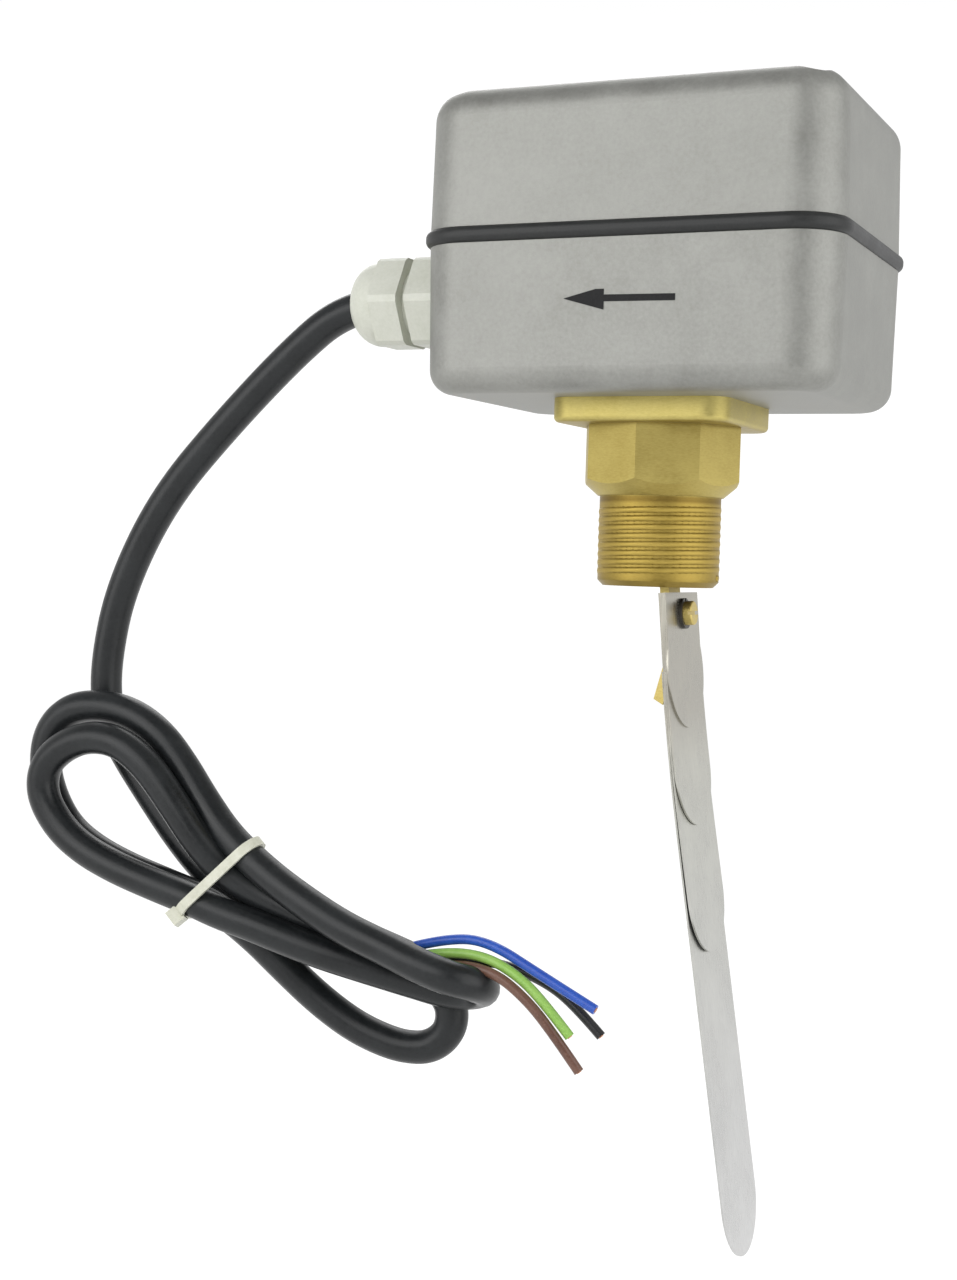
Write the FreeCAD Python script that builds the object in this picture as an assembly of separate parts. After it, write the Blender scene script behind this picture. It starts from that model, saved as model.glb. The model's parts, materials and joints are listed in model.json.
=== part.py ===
import FreeCAD, Part
import math
import os
from FreeCAD import Placement, Rotation, Vector

# Paddle flow switch for a pipe.  Millimetres, +Z up, origin on the axis of the pipe
# thread at the lower shoulder of the brass body.  The flow runs towards -X.

# ---- Brass process fitting -------------------------------------------------
thread_r = 16.62            # R 1 pipe thread, outside radius
thread_len = 24.5
thread_lead = 1.5           # chamfer at the thread's free end
shoulder_r = 17.2           # where the chamfer under the wrench section starts
chamfer_h = 4.3
wrench_flats = 41.0         # octagonal wrench section, a corner towards each flange side
wrench_top = 19.0
flange_side = 49.0          # square flange under the housing
flange_t = 6.5
flange_corner_r = 6.5
flange_edge_r = 1.4         # round along the flange's lower edge
spigot_r = 14.0             # neck that centres the fitting in the housing floor
water_bore_r = 12.0
pivot_shelf_z = 13.0        # shelf that the pivot ring seats against
throat_r = 9.0
bellows_seat_z = 24.0       # shelf under the bellows' upper flange
retainer_r = 11.0
o_ring_from_spigot = 2.4    # to the middle of the ring in the flange's top face
o_ring_r = 1.0
o_ring_groove_gap = 0.3

# ---- Housing ---------------------------------------------------------------
housing_x = 113.0           # outside, at the parting line
housing_y = 85.0
housing_h = 80.0
base_h = 38.8               # underside to rim of the lower half
corner_r = 13.0             # upright corners
base_edge_r = 6.5           # round along the floor
cover_edge_r = 8.0          # round along the top
draft = math.radians(1.2)
wall = 3.5
floor_t = 4.0
gasket_t = 4.3
gasket_proud = 1.3          # how far the bead stands out round the parting line
post_r = 5.6                # corner posts for the cover screws
post_inset = 9.5            # their axes from the outer walls
cover_screw_r = 2.0
cover_well_r = 4.6
cover_web = 6.0             # metal under each cover screw's head
cover_screw_bite = 12.0
cover_head_h = 3.8
flange_screw_r = 2.5
flange_screw_pitch = 37.0   # square pattern
blind_t = 1.0               # metal left under a blind tapped hole
slot_w = 1.0                # driver slots in the small screws' heads
slot_depth = 1.0
head_ratio = 1.8            # radius of a small screw's head over that of its thread
head_h = 2.4

# ---- Pivot, lever and paddles ----------------------------------------------
pivot_z = 8.0
pivot_r = 2.0
pivot_ring_h = 10.0
pivot_slot_half = 6.4       # room for the lever's boss along the flow
pin_short = 0.4             # gap from the pin's ends to the bore
pin_chamfer = 0.3
rest_tilt = 5.5             # degrees that the lever leans upstream when idle
lever_rod_r = 2.5
rod_past_spring = 3.0
lever_boss_r = 5.0
lever_boss_w = 14.0
tail_w = 10.0
tail_t = 2.5
tail_bend_z = -45.0
tail_tip_z = -56.0
tail_kick = 3.7             # how far the tail's tip is bent downstream
paddle_seat_x = 1.7         # face of the tail that carries the paddles
paddle_t = 0.5
paddle_w = 31.0
paddle_neck_w = 28.4
paddle_neck_z = -47.5
paddle_top_z = -26.4
paddle_bend_z = -41.0
paddle_bend_len = 50.0
paddle_6_len = 181.0
paddle_3_len = 98.3
paddle_2_len = 63.7
paddle_1_len = 37.0
paddles = (                 # name, length, turn of the bend in degrees
    ("paddle_6_inch", paddle_6_len, 3.55),
    ("paddle_3_inch", paddle_3_len, 4.1),
    ("paddle_2_inch", paddle_2_len, 4.6),
    ("paddle_1_inch", paddle_1_len, 4.65),
)
clamp_z = -32.2
clamp_screw_r = 2.5
clamp_head_r = 3.3
clamp_head_h = 2.4
clamp_washer_t = 1.0
clamp_washer_r = 4.2

# ---- Bellows seal ----------------------------------------------------------
bellows_in_r = 4.9
bellows_out_r = 7.8
bellows_folds = 4
bellows_wall = 0.25
bellows_flange_t = 1.0
bellows_foot_z = 14.0
bellows_foot_t = 0.5

# ---- Snap switch, bracket and range adjuster -------------------------------
switch_x = 12.2             # face that carries the plunger
switch_d = 15.9
switch_h = 27.8
switch_w = 10.3
switch_z = 34.0
leaf_pin_x = 10.4
leaf_pin_z = 59.5
leaf_pin_r = 0.8
leaf_curl_r = 1.4
leaf_t = 0.5
leaf_w = 6.0
leaf_nose_z = 37.0
leaf_nose_r = 1.2
leaf_gap = 0.1              # from the leaf's nose to the lever, idle
plunger_z = 52.0
plunger_r = 1.0
plunger_gap = 0.05
plunger_travel = 1.9
plunger_bore = 7.0          # depth of its way into the switch
button_boss_r = 2.2
button_boss_h = 1.4
leaf_ear_t = 1.2
switch_edge_r = 0.8
blade_len = 6.3
blade_w = 4.8
blade_t = 0.8
blade_pitch = 8.0
switch_screw_r = 1.5
switch_screw_up = 2.8       # lower screw above the switch's foot
switch_screw_pitch = 22.2
switch_nut_flats = 5.5
switch_nut_t = 2.4
sheet_t = 2.0               # bracket sheet
ear_x = 37.0
bracket_foot = 16.0
bracket_screw_r = 2.0
bracket_screw_bite = 4.0
foot_boss_r = 4.5           # two bosses on the floor under the bracket's foot
foot_boss_h = 2.0
foot_pitch = 9.5
foot_margin = 4.2
ear_margin = 2.5
sheet_inset = 0.8           # from the switch's plunger face to the sheet's edge
spring_z = 70.0             # height of the range spring's axis
spring_r = 3.6
spring_wire = 0.9
spring_turns = 6
spring_wire_sides = 8       # the wire's round section, as a prism
cup_x = -2.5                # spring seat on the lever, idle
cup_r = 5.0
cup_rim = 2.0
cup_wall = 0.75
cup_floor_t = 1.5
nut_x = 20.0
nut_len = 8.0
nut_side = 10.0
range_screw_r = 2.5
range_tip_x = 12.5
knob_r = 6.0
knob_len = 6.0
knob_flutes = 8
knob_flute_r = 0.8
clip_t = 1.0
clip_r = 4.4

# ---- Cable gland, on the left wall -----------------------------------------
gland_from_edge = 26.5      # its axis from the housing's front face
gland_under_rim = 11.9
gland_flats = 24.0
gland_thread_r = 9.8        # M 20, nylon
gland_hex_len = 8.4
gland_collar_len = 2.4      # gap between the hexagon and the dome nut
gland_collar_r = 9.4
gland_seal_len = 6.0
gland_thread_out = 1.5      # thread showing past the locknut
gland_seal_small_r = 6.6
gland_seal_large_r = 8.2
cord_way = 1.0              # gap round the cord where it leaves the dome nut
gland_nut_hex = 8.6
gland_end_x = -85.6
gland_bore_r = 6.2
gland_washer_t = 1.6
spot_face_depth = 0.6       # of the flat that the gland seats on
pad_t = 4.4                 # metal under the locknut
locknut_flats = 21.8
locknut_t = 4.0

# ---- Earth connection, on the floor of the housing -------------------------
earth_x = -36.0
earth_y = 22.0
earth_boss_r = 4.5
earth_boss_h = 3.5
earth_screw_r = 2.0
earth_bite = 6.0
lug_t = 0.8
lug_eye_r = 4.2
lug_barrel_r = 2.0
lug_flattened = 0.6         # pressed off the barrel's underside
lug_barrel_len = 5.0
lug_barrel_y = 12.5

# ---- Cord ------------------------------------------------------------------
cord_r = 4.75
core_r = 1.4
inner_core_r = 1.2
cord_seat_x = -82.0         # where the hanging cord meets the gland's own length
cord_inner_x = -44.0        # where the sheath is stripped inside the housing
hank_depth = 28.5
hank_round = 3.0
hank_y = -25.5              # middle of the hank's depth
tie_x = -115.4              # middle of the tie, where the turns are drawn together
tie_z = -109.1
tie_lean = 45.2             # degrees that the tie's long side leans from level
tie_w = 2.8
tie_t = 1.2
tie_lock = 4.6              # side of its square lock
tie_lock_out = 2.6
tie_lock_turn = -155.0      # degrees round its turn from the tie's upper end
tie_turns = (               # where the outer turns cross the tie: along its lean, and Y
    (6.7, -30.1),
    (-13.9, -33.4),
    (-16.5, -23.1),
    (-12.5, -16.5),
)

# ---- Clearances ------------------------------------------------------------
running = 0.05              # pins and screws that turn in a bore
thread_gap = 0.05           # male thread in its tapped hole
hole_gap = 0.2              # screw through a clearance hole
seat_gap = 0.1              # pieces that drop into a recess
flat = 1e-4                 # an edge is level, or at a height, within this
stop_gap = 0.3              # idle lever to its stop

# ---- Worked out from the above ---------------------------------------------
floor_z = wrench_top + flange_t
floor_top = floor_z + floor_t
rim_z = floor_z + base_h
spot_face_x = spot_face_depth - housing_x / 2
locknut_seat_x = pad_t - housing_x / 2
gland_y = gland_from_edge - housing_y / 2
gland_z = rim_z - gland_under_rim
gland_pad_r = gland_under_rim - seat_gap
gland_hex_x = spot_face_x - gland_washer_t
gland_nut_x = gland_hex_x - gland_hex_len - gland_collar_len
gland_seal_x1 = gland_nut_x - gland_nut_hex + 1.0
gland_inner_end = locknut_seat_x + locknut_t + gland_thread_out
cover_z = rim_z + gasket_t
top_z = floor_z + housing_h
inner_x = housing_x / 2 - wall
inner_y = housing_y / 2 - wall
post_x = housing_x / 2 - post_inset
post_y = housing_y / 2 - post_inset
o_ring_mean_r = spigot_r + o_ring_from_spigot
spigot_top = bellows_seat_z + 7.5
retainer_top = spigot_top + 1.0
switch_y = switch_w / 2     # back of the switch, seated on the bracket
foot_z = floor_top + foot_boss_h
foot_y = switch_y + sheet_t + bracket_foot / 2
foot_places = ((ear_x - foot_pitch, foot_y), (ear_x, foot_y))
bracket_top = spring_z + nut_side / 2 + ear_margin
terminal_x = switch_x + switch_d
screw_x = switch_x + 0.6 * switch_d
screw_zs = (switch_z + switch_screw_up, switch_z + switch_screw_up + switch_screw_pitch)
blade_x = terminal_x + blade_len / 2
blade_mid_z = switch_z + switch_h / 2
earth_z = floor_top + earth_boss_h
tail_back_x = paddle_seat_x - tail_t
stack_x = paddle_seat_x + paddle_t * len(paddles)


def cylinder(r, length, x, y, z, axis="z"):
    direction = {"x": Vector(1, 0, 0), "y": Vector(0, 1, 0), "z": Vector(0, 0, 1)}[axis]
    return Part.makeCylinder(r, length, Vector(x, y, z), direction)


def box(x0, x1, y0, y1, z0, z1):
    return Part.makeBox(x1 - x0, y1 - y0, z1 - z0, Vector(x0, y0, z0))


def rounded_rect(half_x, half_y, r, z):
    """Wire of a rectangle with round corners, in a level plane."""
    k = r * math.sqrt(0.5)
    edges = []
    ends = []
    for sx, sy in ((1, 1), (-1, 1), (-1, -1), (1, -1)):
        cx, cy = sx * (half_x - r), sy * (half_y - r)
        on_x, on_y = Vector(cx + sx * r, cy, z), Vector(cx, cy + sy * r, z)
        first, last = (on_x, on_y) if sx == sy else (on_y, on_x)
        edges.append(Part.Arc(first, Vector(cx + sx * k, cy + sy * k, z), last).toShape())
        ends.append((first, last))
    for i in range(4):
        edges.append(Part.LineSegment(ends[i][1], ends[(i + 1) % 4][0]).toShape())
    return Part.Wire(Part.sortEdges(edges)[0])


def slab(half_x, half_y, r, z0, z1):
    face = Part.Face(rounded_rect(half_x, half_y, r, z0))
    return face.extrude(Vector(0, 0, z1 - z0))


def drafted(half_x, half_y, r, z_wide, z_narrow):
    """Block with cast draft: full size at z_wide, smaller towards z_narrow."""
    inset = abs(z_narrow - z_wide) * math.tan(draft)
    up = Vector(0, 0, 1 if z_narrow > z_wide else -1)
    height = abs(z_narrow - z_wide)
    pieces = [Part.makeCone(r, r - inset, height, Vector(x, y, z_wide), up)
              for x, y in corners(half_x - r, half_y - r)]
    for x0, y0, x1, y1 in ((half_x, half_y - r, half_x - inset, half_y - r),
                           (half_x - r, half_y, half_x - r, half_y - inset)):
        wide, narrow = [Part.makePolygon([Vector(sx * x, sy * y, z) for sx, sy in
                                          ((1, 1), (-1, 1), (-1, -1), (1, -1), (1, 1))])
                        for x, y, z in ((x0, y0, z_wide), (x1, y1, z_narrow))]
        pieces.append(Part.makeLoft([wide, narrow], True, True))
    return fuse(pieces)


def round_level_edges(shape, r, z):
    """Fillet every edge that lies in the level plane at z."""
    edges = [e for e in shape.Edges if abs(e.BoundBox.ZMin - z) < flat and abs(e.BoundBox.ZMax - z) < flat]
    return shape.makeFillet(r, edges)


def prism(flats, sides, start, length, axis):
    """Regular prism with a flat facing each way along the axes it is square to."""
    corner = flats / 2 / math.cos(math.pi / sides)
    points = []
    for i in range(sides + 1):
        a = 2 * math.pi * (i + 0.5) / sides
        u, v = corner * math.cos(a), corner * math.sin(a)
        points.append({"x": Vector(0, v, u), "y": Vector(u, 0, v), "z": Vector(u, v, 0)}[axis] + start)
    step = {"x": Vector(length, 0, 0), "y": Vector(0, length, 0), "z": Vector(0, 0, length)}[axis]
    return Part.Face(Part.makePolygon(points)).extrude(step)


def turned(profile, x=0.0, y=0.0, z=0.0, axis="z"):
    """Revolve (radius, height) points about an axis through x, y, z."""
    points = [Vector(r, 0, h) for r, h in profile]
    solid = Part.Face(Part.makePolygon(points + points[:1])).revolve(Vector(), Vector(0, 0, 1), 360)
    turn = {"z": Rotation(), "x": Rotation(Vector(0, 1, 0), 90), "y": Rotation(Vector(1, 0, 0), -90)}[axis]
    solid.Placement = Placement(Vector(x, y, z), turn)
    return solid


def fuse(shapes):
    return shapes[0].multiFuse(shapes[1:]).removeSplitter()


def cut(shape, tools):
    return shape.cut(Part.makeCompound(tools))


def corners(x, y):
    return [(sx * x, sy * y) for sx in (1, -1) for sy in (1, -1)]


def tilted(shape):
    """Turn a piece modelled upright about the pivot to the idle lean."""
    shape = shape.copy()
    shape.rotate(Vector(0, 0, pivot_z), Vector(0, 1, 0), -rest_tilt)
    return shape


def tube(name, points, r):
    """Round cord: straight runs joined by the largest tangent arcs that fit."""
    p = [Vector(*q) for q in points]
    edges = []
    radii = []
    start = p[0]
    for a, b, c in zip(p, p[1:], p[2:]):
        back, on = (a - b).normalize(), (c - b).normalize()
        half = (math.pi - back.getAngle(on)) / 2
        reach = 0.45 * min((a - b).Length, (c - b).Length)
        bend = reach / math.tan(half)
        radii.append(bend)
        middle = b + (back + on).normalize() * (bend / math.cos(half) - bend)
        edges.append(Part.LineSegment(start, b + back * reach).toShape())
        edges.append(Part.Arc(b + back * reach, middle, b + on * reach).toShape())
        start = b + on * reach
    edges.append(Part.LineSegment(start, p[-1]).toShape())
    path = Part.Wire(edges)
    ring = Part.Wire(Part.Circle(p[0], p[1] - p[0], r).toShape())
    solid = path.makePipeShell([ring], True, False, 2)
    length = path.Length
    error = solid.Volume / (math.pi * r * r * length) - 1
    print(name, "length", round(length, 1), "radii", [round(b, 1) for b in radii],
          "volume error", round(error, 4))
    return solid


# ---- Process fitting and what it holds -------------------------------------
def process_fitting():
    wrench = prism(wrench_flats, 8, Vector(0, 0, 0), wrench_top, "z")
    wrench.rotate(Vector(), Vector(0, 0, 1), 180 / 8)
    wrench_corner = wrench_flats / 2 / math.cos(math.pi / 8)
    chamfer = Part.makeCone(shoulder_r, wrench_corner, chamfer_h)
    above = cylinder(wrench_corner + 1, wrench_top - chamfer_h, 0, 0, chamfer_h)
    wrench = wrench.common(chamfer.fuse(above))
    thread = turned([(0, -thread_len), (thread_r - thread_lead, -thread_len),
                     (thread_r, thread_lead - thread_len), (thread_r, chamfer_h / 2), (0, chamfer_h / 2)])
    flange = slab(flange_side / 2, flange_side / 2, flange_corner_r, wrench_top, floor_z)
    flange = round_level_edges(flange, flange_edge_r, wrench_top)
    spigot = cylinder(spigot_r, spigot_top - floor_z, 0, 0, floor_z)
    body = fuse([wrench, thread, flange, spigot])
    ways = [
        cylinder(water_bore_r, thread_len + pivot_shelf_z, 0, 0, -thread_len),
        cylinder(throat_r, bellows_seat_z - pivot_shelf_z, 0, 0, pivot_shelf_z),
        cylinder(retainer_r + seat_gap, spigot_top - bellows_seat_z, 0, 0, bellows_seat_z),
        o_ring_shape(o_ring_r + o_ring_groove_gap),
    ]
    for x, y in corners(flange_screw_pitch / 2, flange_screw_pitch / 2):
        ways.append(cylinder(flange_screw_r + thread_gap, flange_t - blind_t, x, y, wrench_top + blind_t))
    return cut(body, ways)


def o_ring_shape(r):
    """Ring of round section lying in the flange's top face."""
    return Part.makeTorus(o_ring_mean_r, r, Vector(0, 0, floor_z - o_ring_r), Vector(0, 0, 1))


def flange_screws():
    head_r, cap_h = 1.75 * flange_screw_r, 1.3 * flange_screw_r
    screws = []
    for x, y in corners(flange_screw_pitch / 2, flange_screw_pitch / 2):
        shank = cylinder(flange_screw_r, floor_top - wrench_top - 2 * blind_t, x, y, wrench_top + 2 * blind_t)
        head = cylinder(head_r, cap_h, x, y, floor_top)
        socket = prism(flange_screw_r * 1.6, 6, Vector(x, y, floor_top + cap_h / 2), cap_h, "z")
        screws.append(cut(fuse([shank, head]), [socket]))
    return Part.makeCompound(screws)


def pivot_ring():
    ring = cylinder(water_bore_r - thread_gap, pivot_ring_h, 0, 0, pivot_shelf_z - pivot_ring_h)
    slot = box(-pivot_slot_half, pivot_slot_half, -lever_boss_w / 2 - seat_gap, lever_boss_w / 2 + seat_gap,
               pivot_shelf_z - pivot_ring_h, pivot_shelf_z)
    pin_way = cylinder(pivot_r, 2 * water_bore_r, 0, -water_bore_r, pivot_z, "y")
    return cut(ring, [slot, pin_way])


def pivot_pin():
    half = math.sqrt(water_bore_r ** 2 - pivot_r ** 2) - pin_short
    pin = cylinder(pivot_r, 2 * half, 0, -half, pivot_z, "y")
    return pin.makeChamfer(pin_chamfer, [e for e in pin.Edges if e.BoundBox.YLength < flat])


def bellows():
    """Thin convoluted tube, soldered to the lever below and clamped by its flange above."""
    top = bellows_seat_z
    fold = (top - bellows_foot_z) / bellows_folds
    inner = [(bellows_in_r, bellows_foot_z)]
    outer = [(bellows_in_r + bellows_wall, bellows_foot_z)]
    for i in range(bellows_folds):
        crest = bellows_foot_z + (i + 0.5) * fold
        valley = bellows_foot_z + (i + 1) * fold
        inner += [(bellows_out_r - bellows_wall, crest), (bellows_in_r, valley)]
        outer += [(bellows_out_r, crest), (bellows_in_r + bellows_wall, valley)]
    skin = turned(inner + outer[::-1])
    foot = cut(cylinder(bellows_in_r + bellows_wall, bellows_foot_t, 0, 0, bellows_foot_z),
               [tilted(cylinder(lever_rod_r + running, spring_z - pivot_z, 0, 0, pivot_z))])
    flange = cylinder(retainer_r, bellows_flange_t, 0, 0, top)
    flange = cut(flange, [cylinder(bellows_in_r, bellows_flange_t, 0, 0, top)])
    return fuse([skin, foot, flange])


def bellows_retainer():
    """Screwed ring over the bellows; its hole is also the lever's idle stop."""
    z0 = bellows_seat_z + bellows_flange_t
    lean = math.radians(rest_tilt)
    stop_r = (retainer_top - pivot_z) * math.tan(lean) + lever_rod_r / math.cos(lean) + stop_gap
    ring = cylinder(retainer_r, retainer_top - z0, 0, 0, z0)
    slot = box(-retainer_r, retainer_r, -slot_w, slot_w, retainer_top - 1.5 * slot_depth, retainer_top)
    return cut(ring, [cylinder(stop_r, retainer_top - z0, 0, 0, z0), slot])


# ---- Lever and paddles, modelled upright about the pivot -------------------
def paddle_lever():
    half = tail_w / 2
    boss = cylinder(lever_boss_r, lever_boss_w, 0, -lever_boss_w / 2, pivot_z, "y")
    rod = cylinder(lever_rod_r, spring_z + rod_past_spring - pivot_z, 0, 0, pivot_z)
    side = [
        Vector(tail_back_x, -half, pivot_z), Vector(tail_back_x, -half, tail_bend_z),
        Vector(tail_back_x - tail_kick, -half, tail_tip_z + tail_t * 0.4),
        Vector(paddle_seat_x - tail_kick, -half, tail_tip_z - tail_t * 0.3),
        Vector(paddle_seat_x, -half, tail_bend_z), Vector(paddle_seat_x, -half, pivot_z),
    ]
    tail = Part.Face(Part.makePolygon(side + side[:1])).extrude(Vector(0, tail_w, 0))
    bore = cylinder(pivot_r + running, lever_boss_w, 0, -lever_boss_w / 2, pivot_z, "y")
    tapped = cylinder(clamp_screw_r + thread_gap, tail_t + 1, tail_back_x - 0.5, 0, clamp_z, "x")
    lever = tilted(cut(fuse([boss, rod, tail]), [bore, tapped]))
    seat = cylinder(cup_r, cup_floor_t, cup_x - cup_floor_t, 0, spring_z, "x")
    rim = cylinder(cup_r, cup_rim, cup_x, 0, spring_z, "x")
    rim = cut(rim, [cylinder(cup_r - cup_wall, cup_rim, cup_x, 0, spring_z, "x")])
    return fuse([lever, seat, rim])


def paddle_outline(length):
    """Front view of a paddle, as a block through the whole stack."""
    half, end_z = paddle_w / 2, paddle_top_z - length + paddle_w / 2
    reach = 60.0
    tip = cylinder(half, reach, -reach / 2, 0, end_z, "x")
    blade = box(-reach / 2, reach / 2, -half, half, end_z, paddle_neck_z)
    neck = box(-reach / 2, reach / 2, -paddle_neck_w / 2, paddle_neck_w / 2, paddle_neck_z, paddle_top_z)
    return fuse([tip, blade, neck])


def paddle(level, length, turn):
    """Sheet with a flat clamped top, a gentle bend upstream and a straight end."""
    x0, x1 = paddle_seat_x + level * paddle_t, paddle_seat_x + (level + 1) * paddle_t
    angle = math.radians(turn)
    centre_x = x1 + paddle_bend_len / angle

    def on_bend(x, a):
        r = centre_x - x
        return Vector(centre_x - r * math.cos(a), 0, paddle_bend_z - r * math.sin(a))

    along = Vector(math.sin(angle), 0, -math.cos(angle)) * length
    front = [Vector(x1, 0, paddle_top_z), on_bend(x1, 0), on_bend(x1, angle / 2), on_bend(x1, angle)]
    rear = [Vector(x0, 0, paddle_top_z), on_bend(x0, 0), on_bend(x0, angle / 2), on_bend(x0, angle)]
    edges = [
        Part.LineSegment(front[0], front[1]), Part.Arc(front[1], front[2], front[3]),
        Part.LineSegment(front[3], front[3] + along), Part.LineSegment(front[3] + along, rear[3] + along),
        Part.LineSegment(rear[3] + along, rear[3]), Part.Arc(rear[3], rear[2], rear[1]),
        Part.LineSegment(rear[1], rear[0]), Part.LineSegment(rear[0], front[0]),
    ]
    face = Part.Face(Part.Wire([e.toShape() for e in edges]))
    face.translate(Vector(0, -paddle_w, 0))
    sheet = face.extrude(Vector(0, 2 * paddle_w, 0)).common(paddle_outline(length))
    return tilted(cut(sheet, [cylinder(clamp_screw_r + thread_gap, paddle_w, -paddle_w / 2, 0, clamp_z, "x")]))


def clamp_washer():
    ring = cylinder(clamp_washer_r, clamp_washer_t, stack_x, 0, clamp_z, "x")
    bore = cylinder(clamp_screw_r + hole_gap, clamp_washer_t, stack_x, 0, clamp_z, "x")
    split = box(stack_x, stack_x + clamp_washer_t, -slot_w / 2, slot_w / 2, clamp_z + clamp_screw_r,
                clamp_z + clamp_washer_r)
    return tilted(cut(ring, [bore, split]))


def clamp_screw():
    head_x = stack_x + clamp_washer_t
    shank = cylinder(clamp_screw_r, head_x - tail_back_x, tail_back_x, 0, clamp_z, "x")
    head = cylinder(clamp_head_r, clamp_head_h, head_x, 0, clamp_z, "x")
    rim = [e for e in head.Edges if abs(e.BoundBox.XMin - head_x - clamp_head_h) < flat]
    head = head.makeFillet(slot_w / 2, rim)
    slot = box(head_x + clamp_head_h - slot_depth, head_x + clamp_head_h, -clamp_head_r, clamp_head_r,
               clamp_z - slot_w / 2, clamp_z + slot_w / 2)
    return tilted(cut(fuse([shank, head]), [slot]))


# ---- Housing ---------------------------------------------------------------
def housing_base():
    outer = drafted(housing_x / 2, housing_y / 2, corner_r, rim_z, floor_z)
    outer = round_level_edges(outer, base_edge_r, floor_z)
    room = drafted(inner_x, inner_y, corner_r - wall, rim_z, floor_top)
    room = round_level_edges(room, base_edge_r - wall, floor_top)
    hollow = cut(outer, [room])
    within = drafted(housing_x / 2, housing_y / 2, corner_r, rim_z, floor_z)
    extras = [cylinder(post_r, rim_z - floor_top, x, y, floor_top) for x, y in corners(post_x, post_y)]
    extras.append(cylinder(gland_pad_r, pad_t, -housing_x / 2, gland_y, gland_z, "x"))
    extras += [cylinder(foot_boss_r, foot_boss_h, x, y, floor_top) for x, y in foot_places]
    extras.append(cylinder(earth_boss_r, earth_z - floor_top, earth_x, earth_y, floor_top))
    base = fuse([hollow] + [e.common(within) for e in extras])
    ways = [cylinder(spigot_r + seat_gap, floor_t, 0, 0, floor_z)]
    ways += [cylinder(flange_screw_r + hole_gap, floor_t, x, y, floor_z)
             for x, y in corners(flange_screw_pitch / 2, flange_screw_pitch / 2)]
    ways += [cylinder(cover_screw_r + seat_gap, cover_screw_bite + 2, x, y, rim_z - cover_screw_bite - 2)
             for x, y in corners(post_x, post_y)]
    ways += [cylinder(bracket_screw_r + thread_gap, bracket_screw_bite + 1, x, y,
                      foot_z - bracket_screw_bite - 1) for x, y in foot_places]
    ways.append(cylinder(earth_screw_r + thread_gap, earth_bite, earth_x, earth_y, earth_z - earth_bite))
    ways.append(cylinder(gland_thread_r + hole_gap, 2 * pad_t, locknut_seat_x - 2 * pad_t, gland_y,
                         gland_z, "x"))
    ways.append(cylinder(gland_flats * 0.6, pad_t, spot_face_x - pad_t, gland_y, gland_z, "x"))
    return cut(base, ways)


def housing_cover():
    outer = drafted(housing_x / 2, housing_y / 2, corner_r, cover_z, top_z)
    outer = round_level_edges(outer, cover_edge_r, top_z)
    room = drafted(inner_x, inner_y, corner_r - wall, cover_z, top_z - wall)
    room = round_level_edges(room, cover_edge_r - wall, top_z - wall)
    hollow = cut(outer, [room])
    within = drafted(housing_x / 2, housing_y / 2, corner_r, cover_z, top_z)
    posts = [cylinder(post_r, top_z - wall - cover_z, x, y, cover_z) for x, y in corners(post_x, post_y)]
    cover = fuse([hollow] + [post.common(within) for post in posts])
    ways = []
    for x, y in corners(post_x, post_y):
        ways.append(cylinder(cover_well_r, top_z, x, y, cover_z + cover_web))
        ways.append(cylinder(cover_screw_r + hole_gap, cover_web, x, y, cover_z))
    return cut(cover, ways)


def cover_gasket():
    half_x, half_y = housing_x / 2 + gasket_proud, housing_y / 2 + gasket_proud
    ring = slab(half_x, half_y, corner_r + gasket_proud, rim_z, cover_z)
    edges = [e for e in ring.Edges if e.BoundBox.ZLength < flat]
    ring = ring.makeFillet(gasket_t * 0.42, edges)
    return cut(ring, [slab(inner_x, inner_y, corner_r - wall, rim_z, cover_z)])


def cover_screws():
    seat = cover_z + cover_web
    head_r = cover_well_r - 0.4
    screws = []
    for x, y in corners(post_x, post_y):
        shank = cylinder(cover_screw_r, cover_web + gasket_t + cover_screw_bite, x, y,
                         rim_z - cover_screw_bite)
        head = cylinder(head_r, cover_head_h, x, y, seat)
        socket = prism(cover_screw_r * 1.5, 6, Vector(x, y, seat + cover_head_h - 2.2), 3, "z")
        screws.append(cut(fuse([shank, head]), [socket]))
    return Part.makeCompound(screws)


# ---- Cable gland -----------------------------------------------------------
def gland_body():
    hexagon = prism(gland_flats, 6, Vector(gland_hex_x - gland_hex_len, gland_y, gland_z),
                    gland_hex_len, "x")
    dulled = cylinder(gland_flats * 0.555, gland_hex_len, gland_hex_x - gland_hex_len, gland_y, gland_z, "x")
    hexagon = hexagon.common(dulled)
    stub = cylinder(gland_thread_r, gland_inner_end - gland_hex_x, gland_hex_x, gland_y, gland_z, "x")
    collar = cylinder(gland_collar_r, gland_hex_x - gland_hex_len - gland_seal_x1, gland_seal_x1,
                      gland_y, gland_z, "x")
    body = fuse([hexagon, stub, collar])
    return cut(body, [cylinder(gland_bore_r, gland_inner_end - gland_seal_x1, gland_seal_x1,
                               gland_y, gland_z, "x")])


def gland_seal():
    """Rubber sleeve that the dome nut squeezes on to the cord."""
    x0 = gland_seal_x1 - gland_seal_len
    grip = cord_r + seat_gap
    return turned([(grip, 0), (gland_seal_small_r, 0), (gland_seal_large_r, gland_seal_len),
                   (grip, gland_seal_len)], x0, gland_y, gland_z, "x")


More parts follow.
